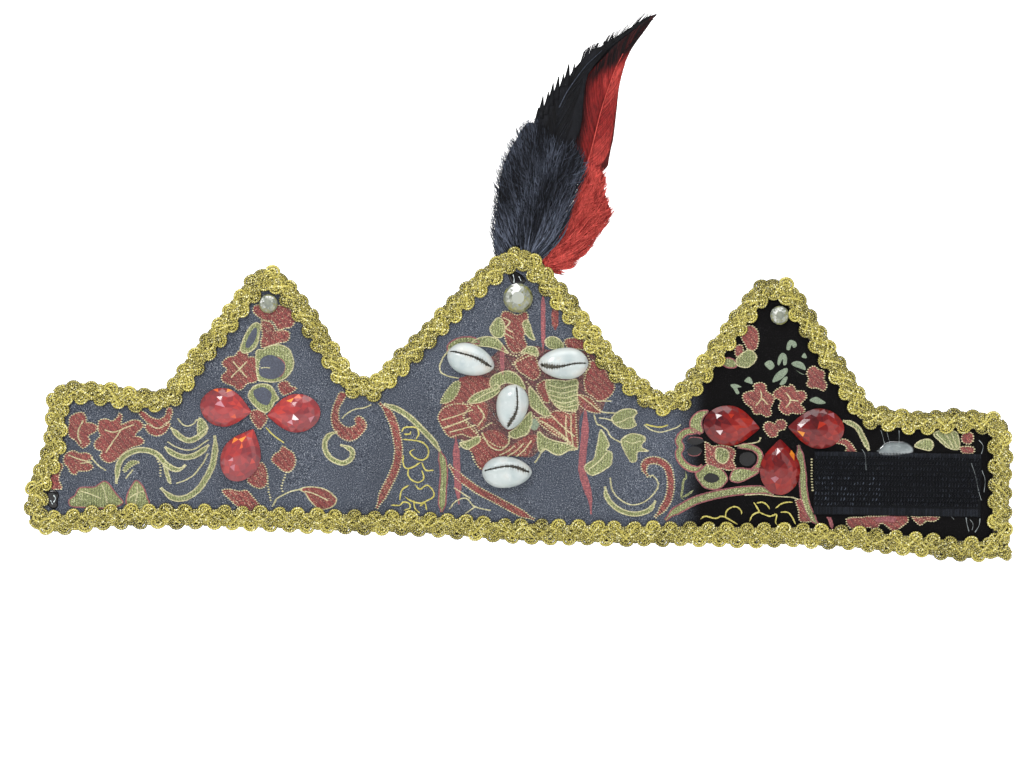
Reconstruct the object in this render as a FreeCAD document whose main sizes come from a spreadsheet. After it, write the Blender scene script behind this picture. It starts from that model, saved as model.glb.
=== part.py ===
import FreeCAD, Part
import Sketcher
import math
import os
from FreeCAD import Vector, Rotation, Placement

# A soft fabric crown band with three peaks, drawn standing and opened out flat.
# X runs along the band, Z points up to the peaks, the decorated face looks
# towards -Y. The origin lies on the back of the lining, at mid band under the
# centre peak. Lengths are millimetres and angles are degrees.

# ---------------------------------------------------------------- dimensions
DIMS = {
    # layer stack, from the back of the lining towards the front
    "lining_thick": 1.0,  # felt lining
    "core_thick": 1.6,  # stiffener
    "fabric_thick": 0.5,  # brocade face
    "braid_thick": 2.8,  # gimp braid, front to back
    "braid_overhang": 3.5,  # how far the braid passes the fabric edge
    "braid_width": 16.0,
    "braid_joint": 0.2,  # gap where the two braid lengths meet
    "braid_seam_height": -22.6,  # height of that gap
    # stiffener links
    "link_pitch": 34.8,  # distance between bend lines
    "link_gap": 0.2,  # slit between two links
    # closure strips
    "strip_length": 100.4,
    "strip_height": 38.0,
    "hook_thick": 1.5,
    "hook_centre_x": 227.6,
    "hook_centre_z": -0.4,
    "hook_tilt": 0.7,
    "loop_thick": 2.3,
    "loop_centre_x": -226.4,
    "loop_centre_z": -0.2,
    "notch_margin": 0.3,  # clear edge of the lining around the loop strip
    # teardrop stones
    "stone_thick": 6.0,
    "stone_bevel_depth": 4.0,
    "stone_bevel_run": 5.5,
    # round crystals
    "crystal_big_dia": 17.8,
    "crystal_small_dia": 11.4,
    "crystal_big_height": 6.4,
    "crystal_small_height": 4.2,
    "crystal_girdle_share": 0.35,  # straight part of the height
    "crystal_top_share": 0.56,  # flat top diameter over full diameter
    "crystal_seat_gap": 0.3,  # between a small crystal and the braid
    # slots of the cowries
    "slot_width": 1.3,
    "slot_depth": 3.0,
    "slot_share": 0.8,  # slot length over shell length
    "slot_lead": 5.0,  # how far the cutter starts ahead of the shell
    # quill binding and the channel for it in the stiffener
    "quill_bed_bottom": 95.0,
    "quill_bed_top": 134.6,
    "quill_bed_left": -8.0,
    "quill_bed_right": 6.0,
    "quill_bed_slack": 0.2,
    "quill_channel_top": 140.0,  # before slack, past the edge of the fabric
    # feathers, stacked from the rear one forwards
    "feather_rear_back": -0.7,  # its back face, ahead of the lining back
    "feather_rear_thick": 1.0,
    "feather_red_thick": 1.2,
    "feather_front_thick": 2.2,
    "feather_gap": 0.2,
    # glue
    "glue_corner_dia": 4.4,
    "glue_corner_height": 1.5,
    "glue_corner_across": -274.6,
    "glue_corner_up": -25.9,
    "glue_closure_thick": 0.9,
}

# Closed outlines seen from the front; each point is (across X, up Z).
OUTLINES = {
    # stiffened fabric, clockwise from the lower left corner
    "edge": [
        (-291.4, -41.6), (-290.8, -17.1), (-285.9, -5.6), (-281.8, 4.8), (-280.2, 20.0),
        (-279.8, 42.6), (-262.0, 43.8), (-244.0, 43.2), (-228.0, 40.7), (-213.1, 40.8),
        (-159.0, 115.8), (-147.5, 116.4), (-126.0, 91.8), (-98.8, 52.2), (-89.2, 50.8),
        (-33.6, 110.4), (-9.4, 131.5), (3.3, 131.9), (32.0, 100.4), (58.0, 68.4),
        (83.8, 47.4), (93.7, 48.9), (140.4, 116.0), (149.0, 118.6), (160.4, 117.6),
        (190.4, 72.9), (209.6, 44.2), (234.0, 41.0), (262.0, 42.2), (290.4, 42.0),
        (292.8, 17.0), (293.2, -6.0), (292.9, -20.0), (294.9, -41.8), (262.0, -41.6),
        (228.0, -38.9), (196.0, -37.4), (165.0, -37.0), (80.0, -38.3), (2.0, -39.4),
        (-52.0, -36.9), (-110.0, -36.2), (-190.0, -36.0), (-246.0, -38.2), (-270.0, -42.0),
    ],
    # the three feathers
    "front": [
        (-3.0, 136.4), (0.0, 136.4), (8.0, 137.0), (19.0, 145.0), (29.0, 158.0),
        (34.0, 171.0), (38.5, 187.0), (36.0, 200.0), (42.0, 216.0), (46.5, 240.0),
        (37.0, 246.0), (29.5, 244.0), (22.0, 236.0), (15.0, 226.0), (9.5, 213.0),
        (0.0, 209.5), (-9.0, 193.0), (-15.0, 174.0), (-17.5, 150.0), (-17.0, 132.5),
        (-13.5, 134.6), (-9.0, 137.0),
    ],
    "red": [
        (-1.0, 136.4), (1.5, 136.4), (8.5, 135.0), (20.5, 121.5), (25.5, 121.8),
        (28.5, 119.6), (34.5, 121.5), (43.5, 130.0), (52.0, 142.0), (59.0, 159.0),
        (54.5, 170.5), (53.5, 182.0), (55.5, 196.0), (60.5, 223.0), (62.5, 246.0),
        (71.0, 262.0), (62.0, 270.5), (46.0, 250.0), (38.0, 216.0), (30.0, 196.0),
        (16.0, 160.0), (4.0, 143.0),
    ],
    "rear": [
        (-2.5, 136.4), (-0.5, 136.4), (8.0, 150.0), (20.0, 185.0), (31.0, 225.0),
        (46.0, 247.0), (63.0, 262.0), (76.0, 277.2), (67.0, 275.2), (49.0, 263.5),
        (36.0, 256.5), (27.0, 243.0), (17.0, 220.0), (6.0, 185.0), (-1.0, 150.0),
    ],
    # clear glue drawn out above the hook strip
    "glue": [
        (209.5, 20.4), (221.0, 19.8), (234.0, 20.2), (232.0, 24.2), (222.0, 27.6),
        (213.0, 25.0),
    ],
}

# Stones and shells: centre across, centre up, turn, length, width. The turn is
# anticlockwise seen from the front; at 0 the point or narrow end looks to +X.
STONES = {
    "gem_left_outer": (-175.5, 33.3, -7.6, 31.0, 23.0),
    "gem_left_inner": (-134.9, 31.2, 186.0, 32.0, 23.0),
    "gem_left_lower": (-165.1, 5.6, 67.9, 33.4, 23.4),
    "gem_right_inner": (127.2, 31.5, -3.1, 33.8, 24.0),
    "gem_right_outer": (177.8, 31.5, 178.7, 33.6, 24.0),
    "gem_right_lower": (156.9, 7.8, 91.7, 33.4, 24.2),
}
SHELLS = {
    "cowrie_upper_left": (-29.9, 66.3, -15.0, 29.2, 18.9),
    "cowrie_upper_right": (25.4, 65.9, 182.0, 30.2, 19.0),
    "cowrie_middle": (-4.5, 38.9, 262.0, 27.4, 19.2),
    "cowrie_bottom": (-6.3, -0.2, 2.0, 30.0, 19.0),
}
# Crystals: centre across, centre up, size.
CRYSTALS = {
    "crystal_centre": (-2.8, 104.2, "big"),
    "crystal_left": (-152.0, 96.3, "small"),
    "crystal_right": (154.0, 98.5, "small"),
}

LINKS_PER_SIDE = 8  # stiffener links on each side of the centre one
REACH_X = 400  # cutting boxes end this far out, past both ends of the band
SEAT_HEIGHT = 20  # crystal seat cutters, longer than the braid is deep
SHELL_STEPS = 10  # straight segments in half a cowrie outline
SHELL_TAPER = 0.10  # how much fuller the blunt end of a cowrie is

for key, points in OUTLINES.items():
    for i, (x, z) in enumerate(points, 1):
        DIMS[f"{key}_across_{i:02d}"] = x
        DIMS[f"{key}_up_{i:02d}"] = z
for name, row in {**STONES, **SHELLS}.items():
    for word, value in zip(("across", "up", "turn", "long", "wide"), row):
        DIMS[f"{name}_{word}"] = value
for name, (x, z, size) in CRYSTALS.items():
    DIMS[name + "_across"] = x
    DIMS[name + "_up"] = z

# Depths ahead of the lining back, as expressions on the sheet.
CORE_FRONT = "Dims.lining_thick + Dims.core_thick"
FACE_FRONT = CORE_FRONT + " + Dims.fabric_thick"
ON_FACE = f"-({FACE_FRONT})"  # the same plane as a Y coordinate

FORWARD = Rotation(Vector(1, 0, 0), 90)  # turns +Z to -Y

doc = FreeCAD.newDocument("fabric_crown")
sheet = doc.addObject("Spreadsheet::Sheet", "Dims")
for row, (alias, value) in enumerate(DIMS.items(), 1):
    sheet.set(f"A{row}", alias.replace("_", " "))
    sheet.set(f"B{row}", f"{value:.4f}")
    sheet.setAlias(f"B{row}", alias)
doc.recompute()

# ------------------------------------------------------------------- helpers
PARTS = []


def keep(obj, label):
    """Label a finished piece and list it for export."""
    obj.Label = label
    PARTS.append(obj)


def bind(obj, **expressions):
    for prop, expression in expressions.items():
        obj.setExpression(prop, expression)


def mount(obj, x, y, z, rotation=Rotation()):
    """Place an object; x, y and z are expressions."""
    obj.Placement = Placement(Vector(0, 0, 0), rotation)
    for axis, expression in (("x", x), ("y", y), ("z", z)):
        obj.setExpression("Placement.Base." + axis, expression)


def mount_on_face(obj, name, rotation):
    """Set an object on the fabric face at the sheet's place for NAME."""
    mount(obj, f"Dims.{name}_across", ON_FACE, f"Dims.{name}_up", rotation)


def turned(angle):
    """Turn in the plane of the band, anticlockwise seen from the front."""
    return Rotation(Vector(0, -1, 0), angle)


def boolean(kind, name, base, tool):
    result = doc.addObject("Part::" + kind, name)
    result.Base = base
    result.Tool = tool
    return result


def block(name, corner, size):
    """Box from its lowest corner and its X, Y and Z sizes, numbers or expressions."""
    box = doc.addObject("Part::Box", name)
    mount(box, *[str(place) for place in corner])
    for prop, length in zip(("Length", "Width", "Height"), size):
        box.setExpression(prop, str(length))
    return box


def front_sketch(body, name, depth=None):
    """Sketch on the body's XZ plane, standing the expression depth ahead of y = 0."""
    plane = next(f for f in body.Origin.OriginFeatures if f.Role == "XZ_Plane")
    sketch = body.newObject("Sketcher::SketchObject", name)
    sketch.AttachmentSupport = [(plane, "")]
    sketch.MapMode = "FlatFace"
    if depth:
        sketch.setExpression("AttachmentOffset.Base.z", depth)
    return sketch


def new_body(name, depth=None):
    body = doc.addObject("PartDesign::Body", name)
    return body, front_sketch(body, name + "_outline", depth)


def pad(body, sketch, thick, backwards=False):
    """Pad towards the front, or towards the back if backwards."""
    feature = body.newObject("PartDesign::Pad", body.Name + "_pad")
    feature.Profile = sketch
    feature.Reversed = backwards
    feature.setExpression("Length", thick)
    doc.recompute()
    return feature


def closed_loop(sketch, points):
    count = len(points)
    sketch.addGeometry(
        [Part.LineSegment(points[i], points[(i + 1) % count]) for i in range(count)], False)
    sketch.addConstraint(
        [Sketcher.Constraint("Coincident", i, 2, (i + 1) % count, 1) for i in range(count)])


def drive(sketch, constraint, expression):
    index = sketch.addConstraint(constraint)
    sketch.setExpression(f"Constraints[{index}]", expression)


def pin(sketch, axis, edge, vertex, start, expression):
    """Hold a vertex at a driven X or Y distance from the sketch origin."""
    drive(sketch, Sketcher.Constraint("Distance" + axis, -1, 1, edge, vertex, start), expression)


def polygon(sketch, key):
    """Closed outline whose corners follow the sheet."""
    points = [Vector(x, z, 0) for x, z in OUTLINES[key]]
    closed_loop(sketch, points)
    for i, point in enumerate(points):
        pin(sketch, "X", i, 1, point.x, f"Dims.{key}_across_{i + 1:02d}")
        pin(sketch, "Y", i, 1, point.y, f"Dims.{key}_up_{i + 1:02d}")


def rectangle(sketch, left, bottom, right, top):
    """Rectangle between four expressions."""
    closed_loop(sketch, [Vector(-1, -1, 0), Vector(1, -1, 0), Vector(1, 1, 0), Vector(-1, 1, 0)])
    sketch.addConstraint([
        Sketcher.Constraint("Horizontal", 0), Sketcher.Constraint("Horizontal", 2),
        Sketcher.Constraint("Vertical", 1), Sketcher.Constraint("Vertical", 3)])
    pin(sketch, "X", 0, 1, -1.0, left)
    pin(sketch, "Y", 0, 1, -1.0, bottom)
    pin(sketch, "X", 2, 1, 1.0, right)
    pin(sketch, "Y", 2, 1, 1.0, top)


def slab(name, key, depth, thick):
    """Flat sheet cut to an outline, padded towards the front."""
    body, sketch = new_body(name, depth)
    polygon(sketch, key)
    pad(body, sketch, thick)
    return body


def opening(body, name, depth, limits, thick):
    """Rectangular opening through a slab, sketched on its back."""
    before = body.Shape.Volume
    sketch = front_sketch(body, name + "_outline", depth)
    rectangle(sketch, *limits)
    cut = body.newObject("PartDesign::Pocket", name)
    cut.Profile = sketch
    cut.setExpression("Length", thick)
    # the direction that removes material is the right one
    for backwards in (True, False):
        cut.Reversed = backwards
        doc.recompute()
        if body.Shape.Volume <= before - 1e-3:
            return
    raise RuntimeError(f"opening {name} removed nothing")


# --------------------------------------------------------------- flat layers
def make_lining():
    """Lining with a window for the loop strip."""
    lining = slab("lining_body", "edge", None, "Dims.lining_thick")
    half_long = "(Dims.strip_length / 2 + Dims.notch_margin)"
    half_high = "(Dims.strip_height / 2 + Dims.notch_margin)"
    limits = (
        f"Dims.loop_centre_x - {half_long}", f"Dims.loop_centre_z - {half_high}",
        f"Dims.loop_centre_x + {half_long}", f"Dims.loop_centre_z + {half_high}")
    opening(lining, "loop_window", None, limits, "Dims.lining_thick")
    keep(lining, "lining")


def make_core():
    """Whole stiffener with the quill channel, before it is split into links."""
    core = slab("core_body", "edge", "Dims.lining_thick", "Dims.core_thick")
    limits = (
        "Dims.quill_bed_left - Dims.quill_bed_slack",
        "Dims.quill_bed_bottom - Dims.quill_bed_slack",
        "Dims.quill_bed_right + Dims.quill_bed_slack",
        "Dims.quill_channel_top + Dims.quill_bed_slack")
    opening(core, "quill_channel", "Dims.lining_thick", limits, "Dims.core_thick")
    return core


def make_links(core):
    """Stiffener links in a row, the end ones running out to the ends of the band."""
    for k in range(-LINKS_PER_SIDE, LINKS_PER_SIDE + 1):
        number = k + LINKS_PER_SIDE + 1
        low = f"({k} - 0.5) * Dims.link_pitch + Dims.link_gap / 2"
        high = f"({k} + 0.5) * Dims.link_pitch - Dims.link_gap / 2"
        if k == -LINKS_PER_SIDE:
            low = str(-REACH_X)
        if k == LINKS_PER_SIDE:
            high = str(REACH_X)
        span = block(f"link_span_{number:02d}", (low, -10, -100),
                     (f"({high}) - ({low})", 12, 300))
        link = boolean("Common", f"link_{number:02d}", core, span)
        side = "right" if k > 0 else "left"
        keep(link, f"stiffener_{side}_{abs(k)}" if k else "stiffener_centre")


# ------------------------------------------------------- braid round the edge
def grown(name, guide, amount):
    """The fabric outline offset by amount, as a block of the braid's depth."""
    line = doc.addObject("Part::Offset2D", name + "_line")
    line.Source = guide
    line.Join = 0
    line.setExpression("Value", amount)
    doc.recompute()
    solid = doc.addObject("Part::Extrusion", name)
    solid.Base = line
    solid.DirMode = "Custom"
    solid.Dir = Vector(0, -1, 0)
    solid.Solid = True
    # the negative reverse length starts the block at the fabric face
    bind(solid, LengthFwd=FACE_FRONT + " + Dims.braid_thick", LengthRev=ON_FACE)
    return solid


def press_round_crystal(piece, side):
    """Clear the braid round one of the small crystals tucked against it."""
    name = "crystal_" + side
    seat = doc.addObject("Part::Cylinder", name + "_seat")
    seat.setExpression("Radius", "Dims.crystal_small_dia / 2 + Dims.crystal_seat_gap")
    seat.Height = SEAT_HEIGHT
    mount(seat, f"Dims.{name}_across", "0", f"Dims.{name}_up", FORWARD)
    return boolean("Cut", "braid_top_pressed_" + side, piece, seat)


def make_braid():
    """Braid ring in two lengths, parted at the seam height."""
    guide = new_body("braid_guide")[1]
    polygon(guide, "edge")
    doc.recompute()
    outer = grown("braid_outer", guide, "Dims.braid_overhang")
    inner = grown("braid_inner", guide, "Dims.braid_overhang - Dims.braid_width")
    band = boolean("Cut", "braid_band", outer, inner)
    height = 200
    size = (2 * REACH_X, 40, height)
    below = f"Dims.braid_seam_height - {height} - Dims.braid_joint / 2"
    above = "Dims.braid_seam_height + Dims.braid_joint / 2"
    lower = block("braid_lower_half", (-REACH_X, -20, below), size)
    upper = block("braid_upper_half", (-REACH_X, -20, above), size)
    keep(boolean("Common", "braid_bottom_length", band, lower), "braid_bottom")
    top = boolean("Common", "braid_top_length", band, upper)
    for side in ("left", "right"):
        top = press_round_crystal(top, side)
    keep(top, "braid_top")


# ------------------------------------------------------------ closure strips
def make_strip(name, y, backwards, tilt=0):
    body, sketch = new_body(name + "_body")
    rectangle(sketch, "-Dims.strip_length / 2", "-Dims.strip_height / 2",
              "Dims.strip_length / 2", "Dims.strip_height / 2")
    pad(body, sketch, f"Dims.{name}_thick", backwards)
    mount(body, f"Dims.{name}_centre_x", y, f"Dims.{name}_centre_z", turned(tilt))
    keep(body, name + "_strip")


# ---------------------------------------------------------------- decorations
def make_stone(name, turn, long, wide):
    """Teardrop: an arc and two tangent lines to the point, bevelled in front."""
    body, sketch = new_body(name + "_body")
    radius = wide / 2
    spread = math.acos(radius / (long - radius))
    mid = Vector(radius - long / 2, 0, 0)
    point = Vector(long / 2, 0, 0)
    touch_x = radius * math.cos(spread)
    touch_y = radius * math.sin(spread)
    arc = Part.ArcOfCircle(
        Part.Circle(mid, Vector(0, 0, 1), radius), spread, 2 * math.pi - spread)
    sketch.addGeometry(arc, False)
    sketch.addGeometry(Part.LineSegment(mid + Vector(touch_x, -touch_y, 0), point), False)
    sketch.addGeometry(Part.LineSegment(point, mid + Vector(touch_x, touch_y, 0)), False)
    sketch.addConstraint(Sketcher.Constraint("Tangent", 0, 2, 1, 1))
    sketch.addConstraint(Sketcher.Constraint("Coincident", 1, 2, 2, 1))
    sketch.addConstraint(Sketcher.Constraint("Tangent", 2, 2, 0, 1))
    pin(sketch, "X", 0, 3, mid.x, f"(Dims.{name}_wide - Dims.{name}_long) / 2")
    pin(sketch, "X", 1, 2, point.x, f"Dims.{name}_long / 2")
    sketch.addConstraint(Sketcher.Constraint("PointOnObject", 0, 3, -1))
    sketch.addConstraint(Sketcher.Constraint("PointOnObject", 1, 2, -1))
    drive(sketch, Sketcher.Constraint("Radius", 0, radius), f"Dims.{name}_wide / 2")
    base = pad(body, sketch, "Dims.stone_thick")

    faces = base.Shape.Faces
    front = min(range(len(faces)), key=lambda i: faces[i].CenterOfMass.y)
    bevel = body.newObject("PartDesign::Chamfer", name + "_bevel")
    bevel.Base = (base, [f"Face{front + 1}"])
    bevel.ChamferType = "Two distances"
    bind(bevel, Size="Dims.stone_bevel_depth", Size2="Dims.stone_bevel_run")
    doc.recompute()
    # a front face this small means depth and run went on the wrong way round
    smallest_table = 60
    table = min(bevel.Shape.Faces, key=lambda face: face.CenterOfMass.y)
    if table.Area < smallest_table:
        bevel.FlipDirection = True
        doc.recompute()
    mount_on_face(body, name, turned(turn))
    keep(body, name)


def make_crystal(name, size):
    """Straight girdle with a conical crown on it."""
    dia = f"Dims.crystal_{size}_dia"
    height = f"Dims.crystal_{size}_height"
    girdle_height = height + " * Dims.crystal_girdle_share"
    girdle = doc.addObject("Part::Cylinder", name + "_girdle")
    bind(girdle, Radius=dia + " / 2", Height=girdle_height)
    crown = doc.addObject("Part::Cone", name + "_crown")
    bind(crown, Radius1=dia + " / 2", Radius2=dia + " * Dims.crystal_top_share / 2",
         Height=height + " * (1 - Dims.crystal_girdle_share)")
    crown.setExpression("Placement.Base.z", girdle_height)
    stone = boolean("Fuse", name + "_stone", girdle, crown)
    mount_on_face(stone, name, FORWARD)
    keep(stone, name)


def make_cowrie(name, turn, long, wide):
    """Half an egg, flat side on the fabric, with a slot along its front."""
    body, sketch = new_body(name + "_body")
    # half outline as shares of length and width, turned about its long axis
    shares = []
    for i in range(SHELL_STEPS + 1):
        angle = math.pi * i / SHELL_STEPS
        taper = 1 - SHELL_TAPER * math.cos(angle)
        shares.append((0.5 * math.cos(angle), 0.5 * math.sin(angle) * taper))
    points = [Vector(long * along, wide * out, 0) for along, out in shares]
    closed_loop(sketch, points)
    for i, (along, out) in enumerate(shares):
        pin(sketch, "X", i, 1, points[i].x, f"Dims.{name}_long * {along:.6f}")
        if i in (0, SHELL_STEPS):
            sketch.addConstraint(Sketcher.Constraint("PointOnObject", i, 1, -1))
        else:
            pin(sketch, "Y", i, 1, points[i].y, f"Dims.{name}_wide * {out:.6f}")
    dome = body.newObject("PartDesign::Revolution", name + "_back")
    dome.Profile = sketch
    dome.ReferenceAxis = (sketch, ["H_Axis"])
    dome.Angle = 180
    doc.recompute()
    # the dome has to bulge towards the front
    if body.Shape.CenterOfMass.y > 0:
        dome.Reversed = True
        doc.recompute()

    slot_long = f"Dims.{name}_long * Dims.slot_share"
    corner = (f"-{slot_long} / 2", f"-Dims.{name}_wide / 2 - Dims.slot_lead",
              "-Dims.slot_width / 2")
    size = (slot_long, "Dims.slot_depth + Dims.slot_lead", "Dims.slot_width")
    mouth = block(name + "_mouth", corner, size)
    shell = boolean("Cut", name + "_shell", body, mouth)
    mount_on_face(shell, name, turned(turn))
    keep(shell, name)


# ------------------------------------------------------------------- feathers
def make_quill_binding():
    """Flat plate in the channel of the stiffener."""
    body, sketch = new_body("quill_bed_body", "Dims.lining_thick")
    rectangle(sketch, "Dims.quill_bed_left", "Dims.quill_bed_bottom",
              "Dims.quill_bed_right", "Dims.quill_bed_top")
    pad(body, sketch, "Dims.core_thick")
    keep(body, "quill_binding")


def make_feathers():
    depth = "Dims.feather_rear_back"
    for label, key in (("feather_black_rear", "rear"), ("feather_red", "red"),
                       ("feather_black_front", "front")):
        thick = f"Dims.feather_{key}_thick"
        keep(slab(label + "_body", key, depth, thick), label)
        depth += f" + {thick} + Dims.feather_gap"


# ---------------------------------------------------------------- glue traces
def make_glue():
    bead = doc.addObject("Part::Cone", "glue_corner_bead")
    bind(bead, Radius1="Dims.glue_corner_dia / 2", Radius2="Dims.glue_corner_dia / 4",
         Height="Dims.glue_corner_height")
    mount_on_face(bead, "glue_corner", FORWARD)
    keep(bead, "glue_corner")
    trace = slab("glue_closure_body", "glue", FACE_FRONT, "Dims.glue_closure_thick")
    keep(trace, "glue_closure")


# ---------------------------------------------------------------------- build
make_lining()
stiffener_core = make_core()
keep(slab("face_body", "edge", CORE_FRONT, "Dims.fabric_thick"), "face_fabric")
make_links(stiffener_core)
make_braid()
make_strip("hook", y=ON_FACE, backwards=False, tilt=DIMS["hook_tilt"])
make_strip("loop", y="-Dims.lining_thick", backwards=True)
for name, (x, z, turn, long, wide) in STONES.items():
    make_stone(name, turn, long, wide)
for name, (x, z, size) in CRYSTALS.items():
    make_crystal(name, size)
for name, (x, z, turn, long, wide) in SHELLS.items():
    make_cowrie(name, turn, long, wide)
make_quill_binding()
make_feathers()
make_glue()
doc.recompute()

# ----------------------------------------------------------- check and export
bad = []
for obj in doc.Objects:
    if "Invalid" in obj.State or "Error" in obj.State:
        bad.append(f"{obj.Name}: {obj.State}")
for obj in PARTS:
    if obj.Shape.isNull() or not obj.Shape.isValid():
        bad.append(f"{obj.Label}: null or invalid shape")
    elif len(obj.Shape.Solids) != 1:
        bad.append(f"{obj.Label}: {len(obj.Shape.Solids)} solids")
if bad:
    raise RuntimeError("; ".join(bad))

os.makedirs("parts", exist_ok=True)
for obj in PARTS:
    obj.Shape.exportStep(f"parts/{obj.Label}.step")
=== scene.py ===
# A soft crown with three peaks, laid open flat: a brocade face with woven flowers, a stiff core,
# a felt lining, gimp braid round the edge, stones, shells, closure tapes and a plume.
# X runs along the band, Z is up and the front faces -Y. The origin is at the root link.
# Sizes are in millimetres until a mesh is made; the frame is in metres.
import math

import bmesh
import bpy
import numpy as np
from mathutils import Matrix, Vector
from mathutils.geometry import delaunay_2d_cdt


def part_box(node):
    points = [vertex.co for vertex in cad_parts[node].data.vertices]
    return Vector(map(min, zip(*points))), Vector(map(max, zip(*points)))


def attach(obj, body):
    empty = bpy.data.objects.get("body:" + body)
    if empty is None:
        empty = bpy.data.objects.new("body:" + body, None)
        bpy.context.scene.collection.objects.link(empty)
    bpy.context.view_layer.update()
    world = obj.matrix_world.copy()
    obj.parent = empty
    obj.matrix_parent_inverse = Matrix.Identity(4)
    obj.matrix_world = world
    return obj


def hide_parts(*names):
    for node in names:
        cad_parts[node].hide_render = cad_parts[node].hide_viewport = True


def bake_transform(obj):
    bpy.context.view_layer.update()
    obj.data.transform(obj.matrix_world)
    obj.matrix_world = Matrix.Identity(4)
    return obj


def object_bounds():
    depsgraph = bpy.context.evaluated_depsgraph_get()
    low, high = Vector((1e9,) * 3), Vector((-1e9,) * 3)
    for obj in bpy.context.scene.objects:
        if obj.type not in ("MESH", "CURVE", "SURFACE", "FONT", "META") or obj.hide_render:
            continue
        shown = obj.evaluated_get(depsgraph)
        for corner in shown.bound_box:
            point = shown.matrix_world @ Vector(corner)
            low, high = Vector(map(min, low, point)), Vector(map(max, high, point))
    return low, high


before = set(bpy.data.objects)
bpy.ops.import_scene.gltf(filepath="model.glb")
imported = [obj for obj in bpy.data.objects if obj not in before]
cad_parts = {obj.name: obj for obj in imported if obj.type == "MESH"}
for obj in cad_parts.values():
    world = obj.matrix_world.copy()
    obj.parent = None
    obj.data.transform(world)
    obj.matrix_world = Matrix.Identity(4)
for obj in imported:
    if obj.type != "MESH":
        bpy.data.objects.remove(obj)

CAD_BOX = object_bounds()
rng = np.random.default_rng(20)
scene = bpy.context.scene
scene.view_settings.view_transform = "Standard"


def node_box(name):
    """The low and high corners of a CAD piece, in mm."""
    low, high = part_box(name)
    return np.array(low) * 1000, np.array(high) * 1000


def points(text):
    """An array of x, z rows from text such as "1.5,2 3,4"."""
    return np.array([[float(value) for value in pair.split(",")] for pair in text.split()])


def read_motifs(text):
    """(thread, edge, width or None, points) for each entry; see the motif table."""
    motifs = []
    for entry in text.strip().rstrip(";").split(";"):
        head, _, places = entry.partition(":")
        thread_name, edge, *width = head.split()
        motifs.append((thread_name, edge, float(width[0]) if width else None, points(places)))
    return motifs


# ------------------------------------------------------------------ driving sizes
low, high = node_box("stiffener_left_1")
PITCH = abs(low[0] + high[0]) / 2  # from one stiffener link to the next
low, high = node_box("face_fabric")
Y_FACE, Y_CORE = low[1], high[1]
low, high = node_box("lining")
Y_LINING, Y_BACK = low[1], high[1]
BRAID_UNIT = (Y_FACE - node_box("braid_bottom")[0][1]) / 2.8  # scales the heights of the cords
SIDE_LINKS = 8
LINKS = ["left_%d" % i for i in range(8, 0, -1)] + ["root"] + ["right_%d" % i for i in range(1, 9)]

# The crown's outline, clockwise seen from the front: x,z
EDGE = points("""
-291.4,-41.6 -290.8,-17.1 -285.9,-5.6 -281.8,4.8 -280.2,20.0 -279.8,42.6
-262.0,43.8 -244.0,43.2 -228.0,40.7 -213.1,40.8
-159.0,115.8 -147.5,116.4 -126.0,91.8 -98.8,52.2 -89.2,50.8
-33.6,110.4 -9.4,131.5 3.3,131.9 32.0,100.4 58.0,68.4
83.8,47.4 93.7,48.9 140.4,116.0 149.0,118.6 160.4,117.6 190.4,72.9 209.6,44.2
234.0,41.0 262.0,42.2 290.4,42.0 292.8,17.0 293.2,-6.0 292.9,-20.0 294.9,-41.8
262.0,-41.6 228.0,-38.9 196.0,-37.4 165.0,-37.0 80.0,-38.3 2.0,-39.4 -52.0,-36.9
-110.0,-36.2 -190.0,-36.0 -246.0,-38.2 -270.0,-42.0
""")

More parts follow.
